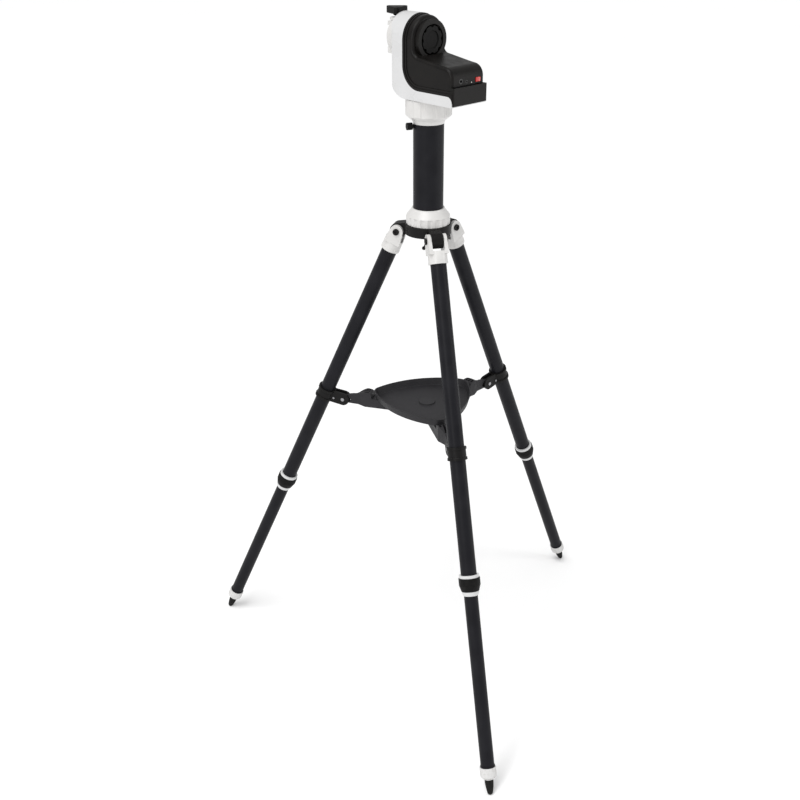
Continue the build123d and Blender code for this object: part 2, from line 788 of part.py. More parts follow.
def make_lock_screw():
    with BuildPart() as screw:
        with BuildSketch(lock_plane(PILLAR_R - PILLAR_WALL + 0.1)):
            Circle(LOCK_R)
        extrude(amount=8)
        with BuildSketch(lock_plane(PILLAR_R + GAP)):
            Circle(3.6)
        extrude(amount=4)
        with BuildSketch(lock_plane(PILLAR_R + GAP + 3.5)):
            Circle(LOCK_KNOB_R)
            with PolarLocations(LOCK_KNOB_R + 0.7, 8):
                Circle(1.5, mode=Mode.SUBTRACT)
        extrude(amount=LOCK_KNOB)
    return screw


# ======================= turning base =======================

def make_turning_base():
    """Spigot in the pillar, sleeve, body inside the clutch ring, and the turning shaft."""
    spigot = PILLAR_R - PILLAR_WALL - SEAT
    top = HEAD_LOW - 1.0
    points = [
        (0, PILLAR_TOP - 27),
        (spigot, PILLAR_TOP - 27),
        (spigot, PILLAR_TOP),
        (PILLAR_R + 0.5, PILLAR_TOP),
        (COLLAR_SLEEVE_R, PILLAR_TOP + COLLAR_SLEEVE),
        (CLUTCH_BORE - RUN, PILLAR_TOP + COLLAR_SLEEVE + 0.6),
        (CLUTCH_BORE - RUN, top),
        (TURN_SHAFT_R, top),
        (TURN_SHAFT_R, HEAD_LOW + 28),
        (0, HEAD_LOW + 28),
    ]
    return turned(points)


def make_clutch_ring():
    points = [
        (CLUTCH_BORE, CLUTCH_LOW),
        (CLUTCH_BORE + 0.6, CLUTCH_LOW),
        (CLUTCH_R, CLUTCH_LOW + CLUTCH_TAPER),
        (CLUTCH_R, CLUTCH_LOW + CLUTCH_HEIGHT - 1),
        (CLUTCH_R - 1, CLUTCH_LOW + CLUTCH_HEIGHT),
        (CLUTCH_BORE, CLUTCH_LOW + CLUTCH_HEIGHT),
    ]
    body = turned(points)
    with BuildPart() as ring:
        add(body.part)
        with BuildSketch(Plane.XY.offset(CLUTCH_LOW)):
            with PolarLocations(CLUTCH_R + 6.4, CLUTCH_SCALLOPS):
                Circle(8.0)
        extrude(amount=CLUTCH_HEIGHT, mode=Mode.SUBTRACT)
    return ring


def gear_profile(teeth, phase):
    """Toothed disc outline in the current sketch, one tooth at the phase angle."""
    pitch = MODULE * teeth / 2
    root = pitch - 1.25 * MODULE
    tip = pitch + 0.8 * MODULE
    thick = 0.40 * pi * MODULE / 2
    Circle(root)
    with PolarLocations(0, teeth, start_angle=phase):
        Polygon(
            (root - 1, thick + 0.4 * MODULE),
            (root - 1, -thick - 0.4 * MODULE),
            (pitch, -thick),
            (tip, -thick + 0.32 * MODULE),
            (tip, thick - 0.32 * MODULE),
            (pitch, thick),
            align=None,
        )


TURN_WHEEL_UP = 17.0
TURN_BEARINGS_UP = (3.2, 9.6)
TURN_PINION_X = -DRIVE_SPAN
TILT_WHEEL_X = -48.0
TILT_BEARINGS_X = (SPINE_X + 3.2, -9.2)
TILT_PINION_ANGLE = -45.0
TILT_Y = DRIVE_SPAN * cos(radians(TILT_PINION_ANGLE))
TILT_Z = AXIS_Z + DRIVE_SPAN * sin(radians(TILT_PINION_ANGLE))


def yz(x):
    """Upright plane square to the tilting axis: X along +Y, Y up, centred on the axis."""
    return Plane(origin=(x, 0, AXIS_Z), x_dir=(0, 1, 0), z_dir=(1, 0, 0))


def make_turning_wheel():
    with BuildPart() as wheel:
        with BuildSketch(Plane.XY.offset(HEAD_LOW + TURN_WHEEL_UP)):
            gear_profile(WHEEL_TEETH, 180.0)
            Circle(TURN_SHAFT_R, mode=Mode.SUBTRACT)
        extrude(amount=WHEEL_WIDTH)
    return wheel


def make_turning_pinion():
    up = HEAD_LOW + TURN_WHEEL_UP
    gap_phase = 180.0 / PINION_TEETH
    with BuildPart() as pinion:
        with BuildSketch(Plane(origin=(TURN_PINION_X, 0, up - 0.5))):
            gear_profile(PINION_TEETH, gap_phase)
        extrude(amount=WHEEL_WIDTH + 1)
        with BuildSketch(Plane(origin=(TURN_PINION_X, 0, up))):
            Circle(SPINDLE_R)
        extrude(amount=WHEEL_WIDTH + 9)
    return pinion


def make_tilting_wheel():
    with BuildPart() as wheel:
        with BuildSketch(yz(TILT_WHEEL_X)):
            gear_profile(WHEEL_TEETH, TILT_PINION_ANGLE)
            Circle(SHAFT_R, mode=Mode.SUBTRACT)
        extrude(amount=WHEEL_WIDTH)
    return wheel


def tilt_drive(x):
    return Plane(origin=(x, TILT_Y, TILT_Z), x_dir=(0, 1, 0), z_dir=(1, 0, 0))


def make_tilting_pinion():
    gap_phase = TILT_PINION_ANGLE + 180.0 + 180.0 / PINION_TEETH
    with BuildPart() as pinion:
        with BuildSketch(tilt_drive(TILT_WHEEL_X - 0.5)):
            gear_profile(PINION_TEETH, gap_phase)
        extrude(amount=WHEEL_WIDTH + 1)
        with BuildSketch(tilt_drive(TILT_WHEEL_X)):
            Circle(SPINDLE_R)
        extrude(amount=WHEEL_WIDTH + 9)
    return pinion


def make_motors():
    """Two small geared motors, one for each axis."""
    turn_up = HEAD_LOW + TURN_WHEEL_UP + WHEEL_WIDTH + 1.5
    tilt_x = TILT_WHEEL_X + WHEEL_WIDTH + 1.5
    with BuildPart() as motors:
        with BuildSketch(Plane(origin=(TURN_PINION_X, 0, turn_up))):
            Circle(MOTOR_R)
        extrude(amount=MOTOR_LONG)
        with BuildSketch(Plane(origin=(TURN_PINION_X, 0, turn_up))):
            Circle(SPINDLE_R + RUN)
        extrude(amount=9, mode=Mode.SUBTRACT)
        with BuildSketch(tilt_drive(tilt_x)):
            Circle(MOTOR_R)
        extrude(amount=-WALL - SEAT - tilt_x)
        with BuildSketch(tilt_drive(tilt_x)):
            Circle(SPINDLE_R + RUN)
        extrude(amount=9, mode=Mode.SUBTRACT)
    return motors


def make_bearings():
    """Two bearings on each axis, their outer rings held by the head."""
    with BuildPart() as bearings:
        for up in TURN_BEARINGS_UP:
            with BuildSketch(Plane.XY.offset(HEAD_LOW + up)):
                Circle(TURN_SHAFT_R + BEARING_WALL)
                Circle(TURN_SHAFT_R + RUN, mode=Mode.SUBTRACT)
            extrude(amount=BEARING_LONG)
        for x in TILT_BEARINGS_X:
            with BuildSketch(yz(x)):
                Circle(SHAFT_R + BEARING_WALL)
                Circle(SHAFT_R + RUN, mode=Mode.SUBTRACT)
            extrude(amount=BEARING_LONG)
    return bearings


# ======================= head =======================

def head_points(points):
    """Points from x and height above the head's underside."""
    return [(x, HEAD_LOW + up) for x, up in points]


def round_corner(sketch, x, up, radius):
    """Round one corner of a side-view sketch, given by x and height above the underside."""
    corner = sketch.vertices().sort_by_distance((x, HEAD_LOW + up, 0))[0]
    fillet(corner, radius)


def head_side(inset):
    """Side outline of the head: tall arm with a rounded heel, low base with a nose."""
    top = AXIS_UP + HEAD_HALF + 8
    outline = head_points([
        (SPINE_X, 0),
        (SKIRT_X, 0),
        (SKIRT_X, PANEL_LOW),
        (PANEL_X, PANEL_LOW),
        (PANEL_X, SHOULDER_UP - NOSE_FALL),
        (SHOULDER_X, SHOULDER_UP),
        (ARM_FACE_X, ROOT_UP),
        (ARM_FACE_X, top),
        (SPINE_X, top),
    ])
    with BuildSketch(Plane.XZ) as side:
        with BuildLine():
            Polyline(outline, close=True)
        make_face()
        round_corner(side, SPINE_X, 0, HEEL_R)
        round_corner(side, ARM_FACE_X, ROOT_UP, ROOT_R)
        round_corner(side, SHOULDER_X, SHOULDER_UP, SHOULDER_R)
        round_corner(side, PANEL_X, SHOULDER_UP - NOSE_FALL, NOSE_R)
        if inset:
            offset(amount=-inset, kind=Kind.INTERSECTION)
    return side.sketch


def head_solid(side_inset, inset):
    """Head body: side outline, arched end view and rounded plan, each pulled in."""
    half = HEAD_HALF - inset
    outline = head_side(side_inset)
    with BuildPart() as solid:
        with BuildSketch(Plane.XZ):
            add(outline)
        extrude(amount=HEAD_WIDTH, both=True)
        with BuildSketch(yz(0)):
            Circle(half)
            with Locations((0, -AXIS_UP)):
                Rectangle(2 * half, 2 * AXIS_UP)
        extrude(amount=2 * PANEL_X, both=True, mode=Mode.INTERSECT)
        with BuildSketch(Plane.XY.offset(HEAD_LOW - 1)) as plan:
            front = SKIRT_X + 1
            back = SPINE_X + side_inset
            with Locations(((back + front) / 2, 0)):
                Rectangle(front - back, 2 * half)
            fillet(plan.vertices().group_by(Axis.X)[0], SPINE_CORNER_R - inset)
        extrude(amount=2 * AXIS_UP, mode=Mode.INTERSECT)
    return solid.part


def parting(distance):
    """Side view of the white shell's ground, grown by a distance past the parting line."""
    x = PART_X + distance
    up = PART_UP + distance
    front = SKIRT_X if distance == 0 else SKIRT_X + 20
    outline = head_points([
        (SPINE_X - 10, -10),
        (front, -10),
        (front, up),
        (x, up),
        (x, 2 * AXIS_UP),
        (SPINE_X - 10, 2 * AXIS_UP),
    ])
    with BuildSketch(Plane.XZ) as ground:
        with BuildLine():
            Polyline(outline, close=True)
        make_face()
        round_corner(ground, x, up, PART_R - distance)
        if distance == 0:
            round_corner(ground, front, up, PART_NOSE_R)
    return ground.sketch


def shell_part(body, keep=None, drop=None):
    """The part of a body inside one side-view outline and outside another."""
    with BuildPart() as piece:
        add(body)
        if keep is not None:
            with BuildSketch(Plane.XZ):
                add(keep)
            extrude(amount=HEAD_WIDTH, both=True, mode=Mode.INTERSECT)
        if drop is not None:
            with BuildSketch(Plane.XZ):
                add(drop)
            extrude(amount=HEAD_WIDTH, both=True, mode=Mode.SUBTRACT)
    return piece.part


def on_front_rim(edge, half):
    """Whether an edge bounds the arm's face, the slope or the panel."""
    box = edge.bounding_box()
    over_arm = box.size.X < 0.01 and abs(box.min.X - ARM_FACE_X) < 0.01
    beside_slope = box.size.Y < 0.01 and abs(abs(box.min.Y) - half) < 0.01
    ahead = box.min.X > ARM_FACE_X - 0.01 and box.min.Z > HEAD_LOW + PANEL_LOW - 0.01
    return ahead and (beside_slope or (over_arm and box.max.Z > AXIS_Z + half - 0.1))


def soft_face(body, half):
    """The cover's body with its long front edge rounded, down to the panel's lower edge."""
    ledge = Plane.XY.offset(HEAD_LOW + PANEL_LOW)
    with BuildPart() as lower:
        add(body)
        split(bisect_by=ledge, keep=Keep.BOTTOM)
    with BuildPart() as piece:
        add(body)
        split(bisect_by=ledge, keep=Keep.TOP)
        rim = piece.edges().filter_by(lambda edge: on_front_rim(edge, half))
        fillet(rim, EDGE_R)
        add(lower.part)
    return piece.part


BAY_HALF = HEAD_HALF - WALL - 2 * STEP
HOLLOW = head_solid(WALL, WALL + 2 * STEP)
GROUND = parting(0)
RIDGE_LOW = parting(RIDGES[0])
RIDGE_HIGH = parting(RIDGES[1])
FULL = head_solid(0, 0)

LOW_POST_Y = 24.0
LOW_POST_UP = -56.0   # from the tilting axis
RIB_LONG = 16.0
SCREW_SPOTS = (
    (25.0, 25.0), (-25.0, 25.0), (LOW_POST_Y, LOW_POST_UP), (-LOW_POST_Y, LOW_POST_UP)
)
POST_R = 3.4
SCREW_R = 1.4


def drawer_bay():
    """Space that the battery drawer slides through, open at the front."""
    with BuildPart() as bay:
        with BuildSketch(Plane.YZ.offset(PANEL_X - 16)):
            with Locations((0, HEAD_LOW + (WALL + PANEL_LOW + GAP) / 2)):
                Rectangle(2 * BAY_HALF, PANEL_LOW + GAP - WALL)
        extrude(amount=40)
    return bay.part


BAY = drawer_bay()


def make_housing():
    """White shell: spine, floor and side skirts, with both axes' bearing seats."""
    shell = shell_part(FULL, keep=GROUND)
    seat_turn = TURN_SHAFT_R + BEARING_WALL
    seat_tilt = SHAFT_R + BEARING_WALL
    with BuildPart() as housing:
        add(shell)
        add(HOLLOW, mode=Mode.SUBTRACT)
        add(BAY, mode=Mode.SUBTRACT)
        with BuildSketch(Plane.XY.offset(HEAD_LOW + WALL)):
            Circle(seat_turn + 3)
        extrude(amount=TURN_BEARINGS_UP[1] + BEARING_LONG - WALL)
        with BuildSketch(Plane.XY.offset(HEAD_LOW + TURN_BEARINGS_UP[0])):
            Circle(seat_turn)
        extrude(amount=20, mode=Mode.SUBTRACT)
        with BuildSketch(Plane.XY.offset(HEAD_LOW)):
            Circle(seat_turn - 2)
        extrude(amount=WALL + 2, mode=Mode.SUBTRACT)
        with BuildSketch(yz(SPINE_X + WALL)):
            Circle(seat_tilt + 3)
        extrude(amount=BEARING_LONG + 0.2)
        with BuildSketch(yz(TILT_BEARINGS_X[0])):
            Circle(seat_tilt)
        extrude(amount=10, mode=Mode.SUBTRACT)
        with BuildSketch(yz(SPINE_X)):
            Circle(seat_tilt - 3)
        extrude(amount=WALL + 1, mode=Mode.SUBTRACT)
        cradle = TURN_PINION_X - MOTOR_R - SPINE_X - WALL + 2
        with BuildSketch(Plane.XY.offset(HEAD_LOW + 30)):
            with Locations((SPINE_X + WALL + cradle / 2, 0)):
                Rectangle(cradle, 12)
            with Locations((TURN_PINION_X, 0)):
                Circle(MOTOR_R + SEAT, mode=Mode.SUBTRACT)
        extrude(amount=20)
        with BuildSketch(yz(SPINE_X)):
            with Locations(*SCREW_SPOTS):
                Circle(SCREW_R + 0.3)
        extrude(amount=WALL + 2, mode=Mode.SUBTRACT)
        with BuildSketch(yz(SPINE_X)):
            with Locations(*SCREW_SPOTS):
                Circle(2 * SCREW_R + 0.4)
        extrude(amount=1.8, mode=Mode.SUBTRACT)
    return housing


def make_cover():
    """Black shell with two ridges along the parting line, the knob's boss and the panel."""
    edge = shell_part(FULL, keep=RIDGE_LOW, drop=GROUND)
    step = shell_part(head_solid(0, STEP), keep=RIDGE_HIGH, drop=RIDGE_LOW)
    face = soft_face(shell_part(head_solid(0, 2 * STEP), drop=RIDGE_HIGH), HEAD_HALF - 2 * STEP)
    seat = SHAFT_R + BEARING_WALL
    posts = -WALL - SPINE_X - WALL
    with BuildPart() as cover:
        add(edge)
        add(step)
        add(face)
        with BuildSketch(yz(ARM_FACE_X - 2 * WALL)):
            Circle(BOSS_R)
        extrude(amount=BOSS_LONG + 2 * WALL)
        add(HOLLOW, mode=Mode.SUBTRACT)
        add(BAY, mode=Mode.SUBTRACT)
        with BuildSketch(yz(ARM_FACE_X)):
            Circle(RECESS_R)
        extrude(amount=BOSS_LONG + 1, mode=Mode.SUBTRACT)
        with BuildSketch(yz(ARM_FACE_X + BOSS_LONG - 2.5)):
            Circle(BOSS_R + 3)
            Circle(BOSS_R, mode=Mode.SUBTRACT)
        extrude(amount=2.5, taper=45, mode=Mode.SUBTRACT)
        with BuildSketch(yz(TILT_BEARINGS_X[1] - 0.2)):
            Circle(seat + 3)
            Circle(seat, mode=Mode.SUBTRACT)
        extrude(amount=-WALL - TILT_BEARINGS_X[1] + 0.2)
        with BuildSketch(yz(ARM_FACE_X - 2 * WALL)):
            Circle(SHAFT_R - 2)
        extrude(amount=3 * WALL, mode=Mode.SUBTRACT)
        with BuildSketch(yz(SPINE_X + WALL + 0.1)):
            with Locations(*SCREW_SPOTS):
                Circle(POST_R)
                Circle(SCREW_R, mode=Mode.SUBTRACT)
        extrude(amount=posts)
        rib = BAY_HALF + 1 - LOW_POST_Y - SCREW_R
        for side in (1, -1):
            with BuildSketch(yz(-WALL - RIB_LONG)):
                with Locations((side * (BAY_HALF + 1 - rib / 2), LOW_POST_UP)):
                    Rectangle(rib, WALL)
            extrude(amount=RIB_LONG)
        with BuildSketch(Plane.YZ.offset(PANEL_X - 11)):
            for y in (-33.0, 33.0):
                with Locations((y, HEAD_LOW + PANEL_LOW + 17)):
                    Circle(2.6)
        extrude(amount=9)
        with BuildSketch(Plane.YZ.offset(PANEL_X - 6)):
            with Locations((POWER_Y, HEAD_LOW + POWER_UP)):
                Circle(POWER_R + 2.2)
            with Locations((PORT_Y, HEAD_LOW + PORT_UP)):
                Circle(PORT_R + 1.4)
            with Locations((LAMP_Y, HEAD_LOW + LAMP_UP)):
                Circle(1.4)
            with Locations((SWITCH_Y, HEAD_LOW + SWITCH_UP)):
                Rectangle(SWITCH_WIDTH + 2 * GAP, SWITCH_TALL + 2 * GAP)
        extrude(amount=10, mode=Mode.SUBTRACT)
    return cover


def make_circuit_board():
    """Upright board behind the panel with its sockets, lamp and switch body."""
    back = PANEL_X - 12.6
    face = back + 1.6
    with BuildPart() as board:
        with BuildSketch(Plane.YZ.offset(back)):
            with Locations((0, HEAD_LOW + PANEL_LOW + 12)):
                Rectangle(74, 20)
        extrude(amount=1.6)
        sockets = ((POWER_Y, POWER_UP, POWER_R, 2.0), (PORT_Y, PORT_UP, PORT_R, 1.2))
        for y, up, bore, wall in sockets:
            with BuildSketch(Plane.YZ.offset(face)):
                with Locations((y, HEAD_LOW + up)):
                    Circle(bore + wall)
                    Circle(bore, mode=Mode.SUBTRACT)
            extrude(amount=PANEL_X - 0.3 - face)
        with BuildSketch(Plane.YZ.offset(face)):
            with Locations((LAMP_Y, HEAD_LOW + LAMP_UP)):
                Circle(1.2)
        extrude(amount=PANEL_X - 0.2 - face)
        with BuildSketch(Plane.YZ.offset(face)):
            with Locations((SWITCH_Y, HEAD_LOW + SWITCH_UP)):
                Rectangle(SWITCH_WIDTH, SWITCH_TALL)
        extrude(amount=3)
    return board


def make_power_switch():
    """Red rocker with two slightly tilted faces."""
    base = PANEL_X - 7.0
    half = SWITCH_WIDTH / 2 - GAP / 2
    with BuildPart() as rocker:
        with BuildSketch(Plane.XY.offset(HEAD_LOW + SWITCH_UP - SWITCH_TALL / 2 + GAP / 2)):
            with BuildLine():
                Polyline(
                    (base, SWITCH_Y - half + 1.5),
                    (PANEL_X - 3.5, SWITCH_Y - half),
                    (PANEL_X + 1.4, SWITCH_Y - half),
                    (PANEL_X + 0.5, SWITCH_Y),
                    (PANEL_X + 1.4, SWITCH_Y + half),
                    (PANEL_X - 3.5, SWITCH_Y + half),
                    (base, SWITCH_Y + half - 1.5),
                    close=True,
                )
            make_face()
        extrude(amount=SWITCH_TALL - GAP)
        with BuildSketch(Plane(origin=(PANEL_X - 5, SWITCH_Y, HEAD_LOW + SWITCH_UP))):
            Circle(1.0)
        extrude(amount=SWITCH_TALL / 2 + GAP / 2, both=True)
    return rocker


def make_battery_drawer():
    low = HEAD_LOW + WALL + DRAWER_PLAY
    high = HEAD_LOW + PANEL_LOW - DRAWER_HEAD
    half = 2 * (2 * CELL_R + 0.3) + DRAWER_WALL + 0.8
    with BuildPart() as drawer:
        with BuildSketch(Plane.XY.offset(low)):
            with Locations((PANEL_X - DRAWER_DEEP / 2, 0)):
                Rectangle(DRAWER_DEEP, 2 * half)
        extrude(amount=high - low)
        with BuildSketch(Plane.XY.offset(low + DRAWER_WALL)):
            with Locations((PANEL_X - DRAWER_DEEP / 2, 0)):
                Rectangle(DRAWER_DEEP - 2 * DRAWER_WALL, 2 * (half - DRAWER_WALL))
        extrude(amount=high - low, mode=Mode.SUBTRACT)
        with BuildSketch(Plane.XY.offset(low)):
            with Locations(((PANEL_X + SKIRT_X) / 2, 0)):
                Rectangle(SKIRT_X - PANEL_X + 0.6, 2 * (BAY_HALF - SLIDE))
        extrude(amount=high + 1.3 - low)
        with BuildSketch(Plane.XY.offset(HEAD_LOW + DRAWER_LOW)) as front:
            with Locations(((DRAWER_FRONT_X + SKIRT_X + 0.3) / 2, 0)):
                Rectangle(DRAWER_FRONT_X - SKIRT_X - 0.3, 2 * (HEAD_HALF - 1))
            fillet(front.vertices().group_by(Axis.X)[-1], 2.6)
        extrude(amount=PANEL_LOW - DRAWER_LOW)
    return drawer


def make_battery_cells():
    """Eight cells in two layers, each with its contact nub."""
    low = HEAD_LOW + WALL + DRAWER_PLAY + DRAWER_WALL + CELL_R + 0.05
    back = PANEL_X - DRAWER_DEEP + DRAWER_WALL + 2
    pitch = 2 * CELL_R + 0.3
    with BuildPart() as cells:
        for layer in range(2):
            plane = Plane(
                origin=(back, 0, low + layer * (2 * CELL_R + 0.1)), x_dir=(0, 1, 0), z_dir=(1, 0, 0)
            )
            with BuildSketch(plane):
                with GridLocations(pitch, 0, 4, 1):
                    Circle(CELL_R)
            extrude(amount=CELL_LONG - 1.5)
            with BuildSketch(plane):
                with GridLocations(pitch, 0, 4, 1):
                    Circle(2.6)
            extrude(amount=CELL_LONG)
    return cells


def make_cover_screws():
    with BuildPart() as screws:
        with BuildSketch(yz(SPINE_X + 0.2)):
            with Locations(*SCREW_SPOTS):
                Circle(2 * SCREW_R)
        extrude(amount=1.5)
        with BuildSketch(yz(SPINE_X + 1)):
            with Locations(*SCREW_SPOTS):
                Circle(SCREW_R - SEAT)
        extrude(amount=12)
        with BuildSketch(yz(SPINE_X)):
            with Locations(*SCREW_SPOTS):
                RegularPolygon(1.4, 6)
        extrude(amount=1.0, mode=Mode.SUBTRACT)
    return screws


# ======================= tilting axis, saddle, knobs =======================

STUD_X = ARM_FACE_X - WALL - 0.4


def make_tilting_shaft():
    with BuildPart() as shaft:
        with BuildSketch(yz(SADDLE_FACE_X + 4)):
            Circle(SHAFT_R)
        extrude(amount=STUD_X - SADDLE_FACE_X - 4)
        with BuildSketch(yz(STUD_X)):
            Circle(SHAFT_R - 3)
        extrude(amount=ARM_FACE_X + CLUTCH_KNOB - 4 - STUD_X)
    return shaft


def make_clutch_knob():
    """Knob with eight finger hollows, turning on the shaft's threaded end."""
    start = ARM_FACE_X + GAP
    with BuildPart() as knob:
        with BuildSketch(yz(start)):
            Circle(CLUTCH_KNOB_R)
            with PolarLocations(CLUTCH_KNOB_R + 2.2, 8):
                Circle(5.0, mode=Mode.SUBTRACT)
        extrude(amount=CLUTCH_KNOB)
        with BuildSketch(yz(start + CLUTCH_KNOB - 2)):
            Circle(CLUTCH_KNOB_R - 9)
        extrude(amount=2, mode=Mode.SUBTRACT)
        with BuildSketch(yz(start)):
            Circle(SHAFT_R - 3 + RUN)
        extrude(amount=CLUTCH_KNOB - 4, mode=Mode.SUBTRACT)
    return knob


def make_saddle():
    """Disc with a fixed dovetail jaw below and a bridge for the clamp screw above."""
    bridge = GROOVE_HIGH + JAW_THICK + 1.5
    with BuildPart() as saddle:
        with BuildSketch(yz(SADDLE_FACE_X)):
            Circle(SADDLE_R)
        extrude(amount=SPINE_X - 1.5 - SADDLE_FACE_X)
        with BuildSketch(Plane.XZ):
            with BuildLine():
                Polyline(
                    (SADDLE_FACE_X, AXIS_Z - GROOVE_LOW),
                    (SADDLE_FACE_X - JAW_LONG, AXIS_Z - GROOVE_LOW + 3),
                    (SADDLE_FACE_X - JAW_LONG, AXIS_Z - SADDLE_R + 2),
                    (SADDLE_FACE_X, AXIS_Z - SADDLE_R + 1),
                    close=True,
                )
            make_face()
        extrude(amount=JAW_WIDTH / 2, both=True)
        with BuildSketch(Plane.XZ):
            with Locations((SADDLE_FACE_X - JAW_LONG / 2, AXIS_Z + bridge + 2.5)):
                Rectangle(JAW_LONG, 5)
        extrude(amount=12, both=True)
        for side in (1, -1):
            with BuildSketch(Plane.XZ.offset(side * (JAW_WIDTH / 2 - 7.5))):
                with Locations((SADDLE_FACE_X - 3, AXIS_Z + bridge + 2.5)):
                    Rectangle(10, 5)
            extrude(amount=side * 3)
        with BuildSketch(Plane.XY.offset(AXIS_Z + bridge - 1)):
            with Locations((SADDLE_FACE_X - JAW_LONG / 2, 0)):
                Circle(CLAMP_SCREW_R + RUN)
        extrude(amount=20, mode=Mode.SUBTRACT)
        with BuildSketch(yz(SADDLE_FACE_X + 4 - SEAT)):
            Circle(SHAFT_R)
        extrude(amount=20, mode=Mode.SUBTRACT)
    return saddle


def make_clamp_jaw():
    low = AXIS_Z + GROOVE_HIGH
    with BuildPart() as jaw:
        with BuildSketch(Plane.XZ):
            with BuildLine():
                Polyline(
                    (SADDLE_FACE_X - GAP, low),
                    (SADDLE_FACE_X - GAP, low + JAW_THICK),
                    (SADDLE_FACE_X - JAW_LONG, low + JAW_THICK),
                    (SADDLE_FACE_X - JAW_LONG, low - 3),
                    close=True,
                )
            make_face()
        extrude(amount=JAW_WIDTH / 2, both=True)
    return jaw


def make_clamp_knob():
    """Three-lobed hand knob on a screw that pushes the moving jaw."""
    x = SADDLE_FACE_X - JAW_LONG / 2
    start = AXIS_Z + GROOVE_HIGH + JAW_THICK + 0.1
    bridge_top = AXIS_Z + GROOVE_HIGH + JAW_THICK + 6.5
    neck = bridge_top + 2.4
    with BuildPart() as knob:
        with BuildSketch(Plane(origin=(x, 0, start))):
            Circle(CLAMP_SCREW_R)
        extrude(amount=neck + 1 - start)
        with BuildSketch(Plane(origin=(x, 0, neck))):
            Circle(6.0)
        extrude(amount=4.5, taper=-30)
        with BuildSketch(Plane(origin=(x, 0, neck + 4.2))):
            with PolarLocations(CLAMP_KNOB_R - 6.5, 3, start_angle=CLAMP_LOBE):
                Circle(6.5)
            make_hull()
            with PolarLocations(CLAMP_KNOB_R + 4.5, 3, start_angle=CLAMP_LOBE + 60):
                Circle(10.5, mode=Mode.SUBTRACT)
        extrude(amount=CLAMP_KNOB)
        fillet(edges().group_by(Axis.Z)[-1], 1.2)
    return knob


# ======================= build and write =======================

for leg, leg_angle in LEG_ANGLES.items():
    finish(make_fork(leg_angle), f"leg_fork_{leg}")
    finish(make_upper_tube(leg_angle), f"upper_tube_{leg}")
    finish(make_ferrule(leg_angle), f"ferrule_{leg}")
    finish(make_twist_collar(leg_angle), f"twist_collar_{leg}")
    finish(make_lower_tube(leg_angle), f"lower_tube_{leg}")
    finish(make_foot_cap(leg_angle), f"foot_cap_{leg}")
    finish(make_foot_tip(leg_angle), f"foot_tip_{leg}")
    finish(make_bracket(leg_angle), f"leg_bracket_{leg}")
    finish(make_bracket_pins(leg_angle), f"bracket_pins_{leg}")
    finish(make_arm(leg_angle), f"spreader_arm_{leg}")

finish(make_spreader_hub(), "spreader_hub")
finish(make_hub_pins(), "hub_pins")
finish(make_tray(), "accessory_tray")
finish(make_tray_screw(), "tray_screw")
finish(make_tripod_head(), "tripod_head")
finish(make_leg_bolts(), "leg_bolts")
finish(make_centre_bolt(), "centre_bolt")
finish(make_pillar_ring(), "pillar_ring")
finish(make_pillar(), "pillar")
finish(make_lock_screw(), "pillar_lock_screw")
finish(make_turning_base(), "turning_base")
finish(make_clutch_ring(), "turning_clutch_ring")
finish(make_turning_wheel(), "turning_wheel")
finish(make_turning_pinion(), "turning_pinion")
finish(make_tilting_wheel(), "tilting_wheel")
finish(make_tilting_pinion(), "tilting_pinion")
finish(make_motors(), "motors")
finish(make_bearings(), "bearings")
finish(make_housing(), "white_housing")
finish(make_cover(), "black_cover")
finish(make_circuit_board(), "circuit_board")
finish(make_power_switch(), "power_switch")
finish(make_battery_drawer(), "battery_drawer")
finish(make_battery_cells(), "battery_cells")
finish(make_cover_screws(), "cover_screws")
finish(make_tilting_shaft(), "tilting_shaft")
finish(make_clutch_knob(), "tilting_clutch_knob")
finish(make_saddle(), "saddle")
finish(make_clamp_jaw(), "clamp_jaw")
finish(make_clamp_knob(), "clamp_knob")
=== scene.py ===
"""Looks of a motorised single-arm mount on its pillar and tripod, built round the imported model."""
import json
from math import cos, radians, sin

import bmesh
import bpy
from mathutils import Matrix, Vector


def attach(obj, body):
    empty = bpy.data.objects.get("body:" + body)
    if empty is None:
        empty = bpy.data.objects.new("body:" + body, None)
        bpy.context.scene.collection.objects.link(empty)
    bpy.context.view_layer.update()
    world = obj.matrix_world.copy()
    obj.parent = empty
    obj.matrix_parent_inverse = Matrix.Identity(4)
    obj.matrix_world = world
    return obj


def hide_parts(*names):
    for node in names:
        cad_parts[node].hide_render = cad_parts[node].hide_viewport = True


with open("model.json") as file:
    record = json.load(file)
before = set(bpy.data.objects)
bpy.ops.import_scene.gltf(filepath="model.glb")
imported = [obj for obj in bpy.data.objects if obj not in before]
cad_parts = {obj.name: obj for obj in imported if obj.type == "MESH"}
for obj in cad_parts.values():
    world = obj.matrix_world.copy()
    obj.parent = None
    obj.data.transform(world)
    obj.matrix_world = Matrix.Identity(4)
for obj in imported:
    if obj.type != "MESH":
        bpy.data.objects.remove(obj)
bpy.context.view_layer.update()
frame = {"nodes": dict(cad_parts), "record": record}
record = frame["record"]
joints = {joint["name"]: joint for joint in record["behaviour"]["joints"]}

mounts = {mount["name"]: mount for mount in record["mounts"]}

MM = 0.001
LEGS = ("a", "b", "c")
SOCKET_DEPTH = 12.5 * MM      # sockets reach this far behind the panel
LAMP_PAST_PORT = 6.0 * MM     # the lamp lies further along +Y than this from the control port

# ---- camera: stands off the front corner of the head, looking down ----
CAMERA_AZIMUTH = 45.0
CAMERA_DISTANCE = 2.1918
CAMERA_HEIGHT = 1.700
CAMERA_PITCH = 25.81
CAMERA_YAW = -1.52
CAMERA_ROLL = -0.32
CAMERA_LENS = 50.90

